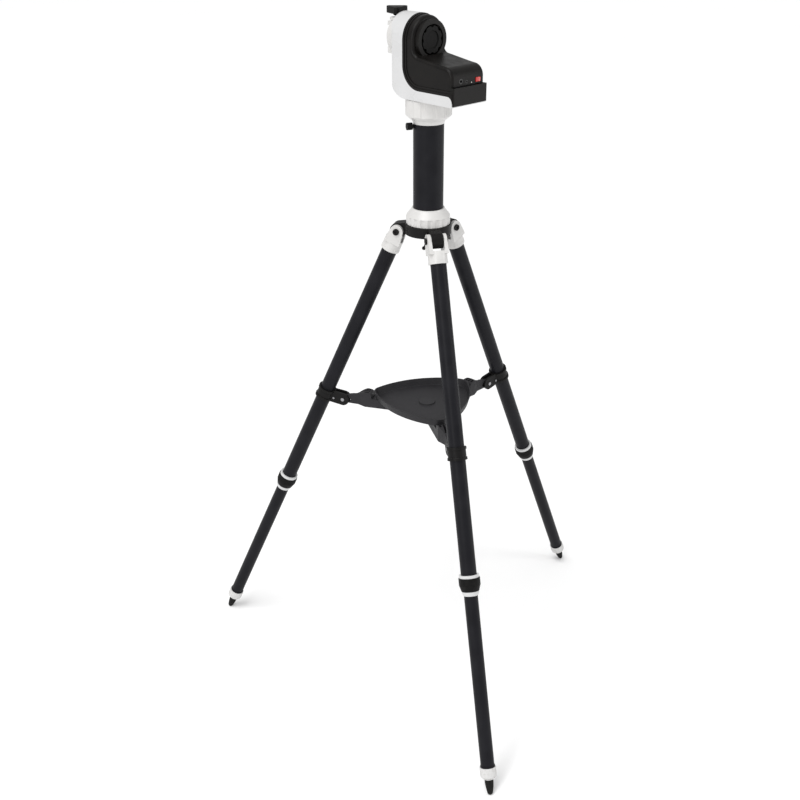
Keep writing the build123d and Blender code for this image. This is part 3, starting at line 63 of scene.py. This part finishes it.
# ---- light ----
WORLD_POWER = 0.62
SUN_POWER = 1.75
SUN_ANGLE = 40.0              # apparent size, for soft shadows
SUN_TILT = 24.0
SUN_FROM = -40.0              # from the camera's azimuth
SOFTBOXES = {                 # azimuth from the camera's, distance, height, size and power
    "softbox_left": (-28.0, 3.0, 2.2, (0.7, 2.4), 30.0),
    "softbox_right": (80.0, 2.6, 1.6, (0.5, 2.2), 14.0),
}
SOFTBOX_AIM = 0.9
FLOOR_REACH = 40.0

# ---- place read from the record ----
port_at = Vector(mounts["control_port"]["pos_m"])


# ======================= materials =======================

def new_finish(name, colour, roughness, **sockets):
    """A material with plain values on its shader; returns the material, its tree and the shader."""
    material = bpy.data.materials.new(name)
    material.use_nodes = True
    material.diffuse_color = (*colour, 1.0)
    tree = material.node_tree
    shader = tree.nodes["Principled BSDF"]
    shader.inputs["Base Color"].default_value = (*colour, 1.0)
    shader.inputs["Roughness"].default_value = roughness
    for socket, value in sockets.items():
        shader.inputs[socket.replace("_", " ")].default_value = value
    return material, tree, shader


def place(tree, scale, stretch=(1.0, 1.0, 1.0)):
    """Object coordinates, scaled to so many repeats per metre."""
    coordinates = tree.nodes.new("ShaderNodeTexCoord")
    mapping = tree.nodes.new("ShaderNodeMapping")
    mapping.inputs["Scale"].default_value = [scale * part for part in stretch]
    tree.links.new(coordinates.outputs["Object"], mapping.inputs["Vector"])
    return mapping.outputs["Vector"]


def noise(tree, scale, detail=4.0, stretch=(1.0, 1.0, 1.0)):
    """Soft random pattern."""
    texture = tree.nodes.new("ShaderNodeTexNoise")
    texture.inputs["Scale"].default_value = 1.0
    texture.inputs["Detail"].default_value = detail
    tree.links.new(place(tree, scale, stretch), texture.inputs["Vector"])
    return texture.outputs["Fac"]


def cells(tree, scale, feature="F1"):
    """Pebbled pattern, for moulded grain."""
    texture = tree.nodes.new("ShaderNodeTexVoronoi")
    texture.feature = feature
    texture.inputs["Scale"].default_value = 1.0
    tree.links.new(place(tree, scale), texture.inputs["Vector"])
    return texture.outputs["Distance"]


def between(tree, value, low, high, start=0.3, end=0.7):
    """Spreads a pattern between two values."""
    spread = tree.nodes.new("ShaderNodeMapRange")
    spread.inputs["From Min"].default_value = start
    spread.inputs["From Max"].default_value = end
    spread.inputs["To Min"].default_value = low
    spread.inputs["To Max"].default_value = high
    tree.links.new(value, spread.inputs["Value"])
    return spread.outputs["Result"]


def blend_colours(tree, factor, first, second):
    """Mixes two colours; either may be a colour or an output."""
    mix = tree.nodes.new("ShaderNodeMix")
    mix.data_type = "RGBA"
    tree.links.new(factor, mix.inputs["Factor"])
    for socket, colour in ((mix.inputs["A"], first), (mix.inputs["B"], second)):
        if isinstance(colour, tuple):
            socket.default_value = (*colour, 1.0)
        else:
            tree.links.new(colour, socket)
    return mix.outputs["Result"]


def raise_surface(tree, shader, layers):
    """Stacks bump layers, each a pattern, a strength and a depth in metres."""
    normal = None
    for pattern, strength, depth in layers:
        bump = tree.nodes.new("ShaderNodeBump")
        bump.inputs["Strength"].default_value = strength
        bump.inputs["Distance"].default_value = depth
        tree.links.new(pattern, bump.inputs["Height"])
        if normal is not None:
            tree.links.new(normal, bump.inputs["Normal"])
        normal = bump.outputs["Normal"]
    tree.links.new(normal, shader.inputs["Normal"])


def worn_edges(tree, reach, breaks):
    """1 along edges and corners, broken up by a pattern, 0 elsewhere."""
    rounded = tree.nodes.new("ShaderNodeBevel")
    rounded.samples = 4
    rounded.inputs["Radius"].default_value = reach
    surface = tree.nodes.new("ShaderNodeNewGeometry")
    agreement = tree.nodes.new("ShaderNodeVectorMath")
    agreement.operation = "DOT_PRODUCT"
    tree.links.new(rounded.outputs["Normal"], agreement.inputs[0])
    tree.links.new(surface.outputs["Normal"], agreement.inputs[1])
    edge = between(tree, agreement.outputs["Value"], 1.0, 0.0, 0.90, 0.995)
    patchy = tree.nodes.new("ShaderNodeMath")
    patchy.operation = "MULTIPLY"
    tree.links.new(edge, patchy.inputs[0])
    tree.links.new(between(tree, breaks, 0.0, 1.0, 0.42, 0.62), patchy.inputs[1])
    return patchy.outputs["Value"]


def black_tube():
    """Satin black anodising with a faint cool cloudiness."""
    material, tree, shader = new_finish(
        "black_tube", (0.010, 0.010, 0.012), 0.40, Specular_IOR_Level=0.10
    )
    cloud = noise(tree, 24.0, 3.0)
    speckle = noise(tree, 2600.0, 2.0)
    tint = blend_colours(tree, between(tree, cloud, 0.0, 1.0), (0.008, 0.008, 0.010), (0.012, 0.012, 0.0145))
    tree.links.new(tint, shader.inputs["Base Color"])
    tree.links.new(between(tree, cloud, 0.38, 0.46), shader.inputs["Roughness"])
    raise_surface(tree, shader, [(speckle, 0.25, 0.00006)])
    return material


def black_casting():
    """Black paint on cast metal, rubbed along its edges."""
    material, tree, shader = new_finish(
        "black_casting", (0.007, 0.0066, 0.0066), 0.42, Specular_IOR_Level=0.12
    )
    rub = noise(tree, 240.0, 5.0)
    worn = worn_edges(tree, 0.0006, rub)
    tint = blend_colours(tree, worn, (0.007, 0.0066, 0.0066), (0.05, 0.048, 0.045))
    tree.links.new(tint, shader.inputs["Base Color"])
    tree.links.new(between(tree, rub, 0.36, 0.52), shader.inputs["Roughness"])
    raise_surface(
        tree, shader, [(noise(tree, 1100.0, 3.0), 0.35, 0.00012), (noise(tree, 160.0), 0.2, 0.0003)]
    )
    return material


def white_casting():
    """White paint on cast metal, with a fine orange peel."""
    material, tree, shader = new_finish(
        "white_casting", (0.58, 0.572, 0.56), 0.36, Coat_Weight=0.15, Coat_Roughness=0.2
    )
    cloud = noise(tree, 45.0, 4.0)
    tint = blend_colours(tree, between(tree, cloud, 0.0, 1.0), (0.56, 0.552, 0.54), (0.60, 0.592, 0.58))
    tree.links.new(tint, shader.inputs["Base Color"])
    tree.links.new(between(tree, cloud, 0.28, 0.40), shader.inputs["Roughness"])
    raise_surface(tree, shader, [(noise(tree, 700.0, 2.0), 0.22, 0.00012)])
    return material


def white_shell():
    """Smooth white moulding."""
    material, tree, shader = new_finish(
        "white_shell", (0.56, 0.56, 0.562), 0.32, Coat_Weight=0.15, Coat_Roughness=0.15
    )
    cloud = noise(tree, 30.0, 3.0)
    tint = blend_colours(tree, between(tree, cloud, 0.0, 1.0), (0.545, 0.545, 0.547), (0.575, 0.575, 0.577))
    tree.links.new(tint, shader.inputs["Base Color"])
    tree.links.new(between(tree, cloud, 0.24, 0.34), shader.inputs["Roughness"])
    raise_surface(tree, shader, [(noise(tree, 420.0, 2.0), 0.10, 0.00010)])
    return material


def black_shell():
    """Satin black moulding with a fine spark-eroded grain."""
    material, tree, shader = new_finish(
        "black_shell", (0.006, 0.0054, 0.005), 0.36, Specular_IOR_Level=0.14
    )
    cloud = noise(tree, 60.0, 4.0)
    tint = blend_colours(
        tree, between(tree, cloud, 0.0, 1.0), (0.005, 0.0045, 0.0042), (0.0075, 0.0066, 0.006)
    )
    tree.links.new(tint, shader.inputs["Base Color"])
    tree.links.new(between(tree, cloud, 0.33, 0.44), shader.inputs["Roughness"])
    raise_surface(tree, shader, [(cells(tree, 1500.0), 0.30, 0.00010), (noise(tree, 90.0), 0.1, 0.0003)])
    return material


def black_grip():
    """Black knob plastic, grained and a little dusty in its hollows."""
    material, tree, shader = new_finish("black_grip", (0.006, 0.0058, 0.0058), 0.46, Specular_IOR_Level=0.10)
    dust = noise(tree, 130.0, 6.0)
    tint = blend_colours(
        tree, between(tree, dust, 0.0, 1.0, 0.45, 0.8), (0.005, 0.0048, 0.0048), (0.012, 0.0115, 0.011)
    )
    tree.links.new(tint, shader.inputs["Base Color"])
    tree.links.new(between(tree, dust, 0.42, 0.6), shader.inputs["Roughness"])
    raise_surface(tree, shader, [(cells(tree, 1200.0), 0.4, 0.00015)])
    return material


def foot_white():
    """Off-white nylon, scuffed near the ground."""
    material, tree, shader = new_finish("foot_white", (0.56, 0.555, 0.55), 0.45)
    scuff = noise(tree, 180.0, 6.0)
    tint = blend_colours(
        tree, between(tree, scuff, 0.0, 1.0, 0.5, 0.75), (0.58, 0.575, 0.57), (0.44, 0.43, 0.41)
    )
    tree.links.new(tint, shader.inputs["Base Color"])
    tree.links.new(between(tree, scuff, 0.38, 0.58), shader.inputs["Roughness"])
    raise_surface(tree, shader, [(noise(tree, 500.0, 3.0), 0.3, 0.0002)])
    return material


def rubber_tip():
    """Matte rubber with ground-in dust."""
    material, tree, shader = new_finish("rubber_tip", (0.008, 0.008, 0.008), 0.6, Specular_IOR_Level=0.15)
    dust = noise(tree, 210.0, 7.0)
    tint = blend_colours(
        tree, between(tree, dust, 0.0, 1.0, 0.5, 0.85), (0.007, 0.007, 0.007), (0.03, 0.028, 0.025)
    )
    tree.links.new(tint, shader.inputs["Base Color"])
    tree.links.new(between(tree, dust, 0.62, 0.85), shader.inputs["Roughness"])
    raise_surface(tree, shader, [(noise(tree, 900.0, 3.0), 0.4, 0.0002)])
    return material


def tray_plastic():
    """Dark grey plastic with a leathery grain and handling marks."""
    material, tree, shader = new_finish("tray_plastic", (0.024, 0.0235, 0.0255), 0.5, Specular_IOR_Level=0.15)
    marks = noise(tree, 34.0, 6.0)
    tint = blend_colours(
        tree, between(tree, marks, 0.0, 1.0), (0.021, 0.0205, 0.0225), (0.028, 0.0272, 0.0295)
    )
    tree.links.new(tint, shader.inputs["Base Color"])
    tree.links.new(between(tree, marks, 0.44, 0.58), shader.inputs["Roughness"])
    raise_surface(tree, shader, [(cells(tree, 620.0), 0.35, 0.0002), (noise(tree, 1800.0, 2.0), 0.2, 0.0001)])
    return material


def steel():
    """Plated steel, brushed fine."""
    material, tree, shader = new_finish("steel", (0.30, 0.30, 0.31), 0.34, Metallic=1.0)
    lines = noise(tree, 900.0, 4.0, (1.0, 1.0, 0.12))
    tint = blend_colours(tree, between(tree, lines, 0.0, 1.0), (0.24, 0.24, 0.25), (0.34, 0.34, 0.35))
    tree.links.new(tint, shader.inputs["Base Color"])
    tree.links.new(between(tree, lines, 0.26, 0.42), shader.inputs["Roughness"])
    raise_surface(tree, shader, [(lines, 0.15, 0.00005)])
    return material


def gear_brass():
    """Machined brass, dulled by grease."""
    material, tree, shader = new_finish("gear_brass", (0.62, 0.44, 0.17), 0.3, Metallic=1.0)
    film = noise(tree, 300.0, 5.0)
    tint = blend_colours(tree, between(tree, film, 0.0, 1.0), (0.50, 0.34, 0.12), (0.70, 0.51, 0.22))
    tree.links.new(tint, shader.inputs["Base Color"])
    tree.links.new(between(tree, film, 0.22, 0.42), shader.inputs["Roughness"])
    raise_surface(tree, shader, [(noise(tree, 1600.0, 2.0), 0.15, 0.00005)])
    return material


def switch_red():
    """Glossy red rocker plastic."""
    material, tree, shader = new_finish(
        "switch_red", (0.52, 0.022, 0.016), 0.30, Coat_Weight=0.15
    )
    cloud = noise(tree, 400.0, 3.0)
    tint = blend_colours(tree, between(tree, cloud, 0.0, 1.0), (0.48, 0.018, 0.013), (0.56, 0.028, 0.02))
    tree.links.new(tint, shader.inputs["Base Color"])
    tree.links.new(between(tree, cloud, 0.2, 0.34), shader.inputs["Roughness"])
    raise_surface(tree, shader, [(noise(tree, 1500.0, 2.0), 0.1, 0.00005)])
    return material


def cell_wrap():
    """Plain sleeve of a battery cell."""
    material, tree, shader = new_finish("cell_wrap", (0.10, 0.16, 0.26), 0.3, Metallic=0.4)
    cloud = noise(tree, 200.0, 3.0)
    tree.links.new(between(tree, cloud, 0.22, 0.4), shader.inputs["Roughness"])
    tint = blend_colours(tree, between(tree, cloud, 0.0, 1.0), (0.09, 0.145, 0.24), (0.115, 0.175, 0.28))
    tree.links.new(tint, shader.inputs["Base Color"])
    raise_surface(tree, shader, [(cloud, 0.1, 0.0001)])
    return material


def past(tree, axis, start):
    """1 beyond a place along an axis of the object, 0 before it."""
    split = tree.nodes.new("ShaderNodeSeparateXYZ")
    tree.links.new(place(tree, 1.0), split.inputs["Vector"])
    beyond = tree.nodes.new("ShaderNodeMath")
    beyond.operation = "GREATER_THAN"
    tree.links.new(split.outputs[axis], beyond.inputs[0])
    beyond.inputs[1].default_value = start
    return beyond.outputs["Value"]


def board_green():
    """Circuit board under its solder mask, with black sockets and a pale lamp at its front."""
    material, tree, shader = new_finish("board_green", (0.02, 0.11, 0.04), 0.35)
    tracks = cells(tree, 420.0, "DISTANCE_TO_EDGE")
    mask = blend_colours(
        tree, between(tree, tracks, 0.0, 1.0, 0.04, 0.08), (0.05, 0.19, 0.08), (0.018, 0.10, 0.035)
    )
    fittings = blend_colours(
        tree, past(tree, "Y", port_at.y + LAMP_PAST_PORT), (0.008, 0.008, 0.008), (0.62, 0.60, 0.55)
    )
    tint = blend_colours(tree, past(tree, "X", port_at.x - SOCKET_DEPTH), mask, fittings)
    tree.links.new(tint, shader.inputs["Base Color"])
    tree.links.new(between(tree, noise(tree, 300.0), 0.28, 0.42), shader.inputs["Roughness"])
    raise_surface(tree, shader, [(tracks, 0.15, 0.0001)])
    return material


def pale_floor():
    """Seamless pale studio floor."""
    material, tree, shader = new_finish("pale_floor", (0.90, 0.90, 0.90), 0.9, Specular_IOR_Level=0.1)
    cloud = noise(tree, 1.5, 3.0)
    tint = blend_colours(tree, between(tree, cloud, 0.0, 1.0), (0.895, 0.895, 0.895), (0.905, 0.905, 0.905))
    tree.links.new(tint, shader.inputs["Base Color"])
    return material


FINISHES = {
    make.__name__: make()
    for make in (
        black_tube, black_casting, white_casting, white_shell, black_shell, black_grip, foot_white,
        rubber_tip, tray_plastic, steel, gear_brass, switch_red, cell_wrap, board_green,
    )
}
slots = {part["node"]: part["material_slot"] for part in record["subparts"]}
body_of_node = {
    node: body for body, nodes in record["behaviour"]["bodies"].items() for node in nodes
}


# ======================= pieces =======================

def dress(obj, finish):
    """Gives a piece one material."""
    obj.data.materials.clear()
    obj.data.materials.append(FINISHES[finish])


def add_piece(name, mesh, body, finish, replaced=()):
    """Puts a finished mesh in the scene, riding on a body."""
    obj = bpy.data.objects.new(name, mesh)
    bpy.context.scene.collection.objects.link(obj)
    dress(obj, finish)
    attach(obj, body)
    if replaced:
        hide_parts(*replaced)
    return obj


def settled(obj):
    """Plain mesh of an object with its modifiers applied; the object is removed."""
    graph = bpy.context.evaluated_depsgraph_get()
    mesh = bpy.data.meshes.new_from_object(obj.evaluated_get(graph))
    bpy.data.objects.remove(obj)
    return mesh


MERGE = 0.000002
FLAT = radians(0.4)


def softened(node, width, segments=2, sharp=28.0):
    """Stands for a CAD node with its hard edges rounded."""
    source = bmesh.new()
    source.from_mesh(frame["nodes"][node].data)
    bmesh.ops.remove_doubles(source, verts=source.verts, dist=MERGE)
    bmesh.ops.dissolve_limit(
        source, angle_limit=FLAT, verts=source.verts, edges=source.edges, use_dissolve_boundaries=False
    )
    mesh = bpy.data.meshes.new(node + "_soft")
    source.to_mesh(mesh)
    source.free()
    work = bpy.data.objects.new(node + "_work", mesh)
    bpy.context.scene.collection.objects.link(work)
    bevel = work.modifiers.new("round", "BEVEL")
    bevel.width = width
    bevel.segments = segments
    bevel.limit_method = "ANGLE"
    bevel.angle_limit = radians(sharp)
    bevel.use_clamp_overlap = True
    bevel.harden_normals = False
    bevel.miter_outer = "MITER_ARC"
    result = settled(work)
    result.shade_smooth()
    result.set_sharp_from_angle(angle=radians(sharp + 8.0))
    work = bpy.data.objects.new(node + "_work", result)
    bpy.context.scene.collection.objects.link(work)
    weighted = work.modifiers.new("even", "WEIGHTED_NORMAL")
    weighted.keep_sharp = True
    result = settled(work)
    return add_piece(node + "_shown", result, body_of_node[node], slots[node], [node])


def leg_frame(leg):
    """Hinge point and unit vector down a leg, from its twist collar's joint."""
    joint = joints["twist_collar_" + leg + "_turn"]
    return Vector(joint["pos_m"]), Vector(joint["axis"]).normalized()


def reach_of(node, origin, axis):
    """Where a node starts along an axis, and its greatest radius about it."""
    mesh = frame["nodes"][node].data
    spots = [vertex.co - origin for vertex in mesh.vertices]
    along = [spot.dot(axis) for spot in spots]
    radii = [(spot - axis * far).length for spot, far in zip(spots, along)]
    return min(along), max(radii)


def onto_axis(mesh, origin, axis, along):
    """Moves a mesh made round its own Z to a place along an axis."""
    turn = axis.to_track_quat("Z", "Y").to_matrix().to_4x4()
    mesh.transform(Matrix.Translation(origin + axis * along) @ turn)


def ring_stack_tree():
    """Geometry Nodes: thin round beads one above another along Z."""
    tree = bpy.data.node_groups.new("ring_stack", "GeometryNodeTree")
    face = tree.interface
    for name, kind in (
        ("Geometry", "NodeSocketGeometry"), ("Count", "NodeSocketInt"), ("Spacing", "NodeSocketVector"),
        ("Radius", "NodeSocketFloat"), ("Bead", "NodeSocketFloat"), ("Finish", "NodeSocketMaterial"),
    ):
        face.new_socket(name, in_out="INPUT", socket_type=kind)
    face.new_socket("Geometry", in_out="OUTPUT", socket_type="NodeSocketGeometry")
    given = tree.nodes.new("NodeGroupInput")
    line = tree.nodes.new("GeometryNodeMeshLine")
    around = tree.nodes.new("GeometryNodeCurvePrimitiveCircle")
    around.inputs["Resolution"].default_value = 96
    bead = tree.nodes.new("GeometryNodeCurvePrimitiveCircle")
    bead.inputs["Resolution"].default_value = 8
    sweep = tree.nodes.new("GeometryNodeCurveToMesh")
    copies = tree.nodes.new("GeometryNodeInstanceOnPoints")
    solid = tree.nodes.new("GeometryNodeRealizeInstances")
    finish = tree.nodes.new("GeometryNodeSetMaterial")
    result = tree.nodes.new("NodeGroupOutput")
    for start, end in (
        (given.outputs["Count"], line.inputs["Count"]),
        (given.outputs["Spacing"], line.inputs["Offset"]),
        (given.outputs["Radius"], around.inputs["Radius"]),
        (given.outputs["Bead"], bead.inputs["Radius"]),
        (around.outputs["Curve"], sweep.inputs["Curve"]),
        (bead.outputs["Curve"], sweep.inputs["Profile Curve"]),
        (line.outputs["Mesh"], copies.inputs["Points"]),
        (sweep.outputs["Mesh"], copies.inputs["Instance"]),
        (copies.outputs["Instances"], solid.inputs["Geometry"]),
        (solid.outputs["Geometry"], finish.inputs["Geometry"]),
        (given.outputs["Finish"], finish.inputs["Material"]),
        (finish.outputs["Geometry"], result.inputs["Geometry"]),
    ):
        tree.links.new(start, end)
    return tree


RING_STACK = ring_stack_tree()


def ring_stack(count, spacing, radius, bead, finish):
    """Plain mesh of a stack of beads, its first ring in the XY plane."""
    work = bpy.data.objects.new("work", bpy.data.meshes.new("work"))
    bpy.context.scene.collection.objects.link(work)
    made = work.modifiers.new("beads", "NODES")
    made.node_group = RING_STACK
    values = {
        "Count": count, "Spacing": (0.0, 0.0, spacing), "Radius": radius, "Bead": bead,
        "Finish": FINISHES[finish],
    }
    for item in RING_STACK.interface.items_tree:
        if item.in_out == "INPUT" and item.name in values:
            made[item.identifier] = values[item.name]
    mesh = settled(work)
    mesh.shade_smooth()
    return mesh


# CAD nodes that stay as they are get their finish here.
for name, obj in frame["nodes"].items():
    dress(obj, slots[name])

# Hard-edged castings and mouldings get softened stand-ins: node and bevel width.
SOFT = {
    "tripod_head": 0.9, "spreader_hub": 0.5, "accessory_tray": 0.9, "pillar_ring": 0.8,
    "turning_clutch_ring": 0.8, "white_housing": 0.8, "black_cover": 0.6, "battery_drawer": 0.5,
    "saddle": 0.8, "clamp_jaw": 0.5, "clamp_knob": 0.8, "tilting_clutch_knob": 0.7,
    "pillar_lock_screw": 0.4, "tray_screw": 0.6, "power_switch": 0.3,
}
for leg in LEGS:
    SOFT["leg_fork_" + leg] = 1.1
    SOFT["leg_bracket_" + leg] = 0.6
    SOFT["spreader_arm_" + leg] = 0.5
    SOFT["twist_collar_" + leg] = 0.6
    SOFT["ferrule_" + leg] = 0.4
    SOFT["foot_cap_" + leg] = 0.5
for node, width in SOFT.items():
    softened(node, width * MM)

# Fine rings round each twist collar and a few round each foot cap: count, spacing, how far
# each bead is sunk into the surface, and its radius.
COLLAR_BEADS = (7, 2.0 * MM, 0.15 * MM, 0.42 * MM)
CAP_BEADS = (3, 5.0 * MM, 0.2 * MM, 0.45 * MM)
COLLAR_FIRST = 2.2 * MM
CAP_FIRST = 5.0 * MM
for leg in LEGS:
    hinge, down = leg_frame(leg)
    for node, name, body, finish, first, (count, spacing, sunk, bead) in (
        ("twist_collar_", "collar_rings_", "twist_collar_", "black_grip", COLLAR_FIRST, COLLAR_BEADS),
        ("foot_cap_", "cap_rings_", "lower_leg_", "foot_white", CAP_FIRST, CAP_BEADS),
    ):
        start, radius = reach_of(node + leg, hinge, down)
        beads = ring_stack(count, spacing, radius - sunk, bead, finish)
        onto_axis(beads, hinge, down, start + first)
        add_piece(name + leg, beads, body + leg, finish)


# ======================= studio =======================

def place_camera():
    camera = bpy.data.objects.new("camera", bpy.data.cameras.new("camera"))
    bpy.context.scene.collection.objects.link(camera)
    camera.data.lens = CAMERA_LENS
    camera.data.sensor_width = 36.0
    heading = radians(CAMERA_AZIMUTH)
    camera.matrix_world = (
        Matrix.Translation((CAMERA_DISTANCE * sin(heading), -CAMERA_DISTANCE * cos(heading), CAMERA_HEIGHT))
        @ Matrix.Rotation(radians(CAMERA_AZIMUTH - CAMERA_YAW), 4, "Z")
        @ Matrix.Rotation(radians(90.0 - CAMERA_PITCH), 4, "X")
        @ Matrix.Rotation(radians(CAMERA_ROLL), 4, "Z")
    )
    bpy.context.scene.camera = camera


def place_softbox(name, azimuth, distance, height, size, power):
    """Area light that faces the turning axis; azimuth 0 is in front of -Y."""
    light = bpy.data.lights.new(name, "AREA")
    light.shape = "RECTANGLE"
    light.size, light.size_y = size
    light.energy = power
    lamp = bpy.data.objects.new(name, light)
    bpy.context.scene.collection.objects.link(lamp)
    way = radians(azimuth)
    lamp.location = (distance * sin(way), -distance * cos(way), height)
    aim = Vector((0.0, 0.0, SOFTBOX_AIM)) - lamp.location
    lamp.rotation_mode = "QUATERNION"
    lamp.rotation_quaternion = aim.to_track_quat("-Z", "Y")


def make_studio():
    floor_mesh = bpy.data.meshes.new("floor")
    corners = [(x * FLOOR_REACH, y * FLOOR_REACH, 0.0) for x, y in ((-1, -1), (1, -1), (1, 1), (-1, 1))]
    floor_mesh.from_pydata(corners, [], [(0, 1, 2, 3)])
    floor = bpy.data.objects.new("floor", floor_mesh)
    bpy.context.scene.collection.objects.link(floor)
    floor_mesh.materials.append(pale_floor())

    world = bpy.data.worlds.new("studio")
    bpy.context.scene.world = world
    world.use_nodes = True
    background = world.node_tree.nodes["Background"]
    background.inputs["Color"].default_value = (1.0, 1.0, 1.0, 1.0)
    background.inputs["Strength"].default_value = WORLD_POWER

    sun = bpy.data.objects.new("sun", bpy.data.lights.new("sun", "SUN"))
    sun.data.energy = SUN_POWER
    sun.data.angle = radians(SUN_ANGLE)
    sun.rotation_euler = (radians(SUN_TILT), 0.0, radians(CAMERA_AZIMUTH + SUN_FROM))
    bpy.context.scene.collection.objects.link(sun)
    for name, (azimuth, distance, height, size, power) in SOFTBOXES.items():
        place_softbox(name, CAMERA_AZIMUTH + azimuth, distance, height, size, power)
    bpy.context.scene.view_settings.view_transform = "Standard"


place_camera()
make_studio()
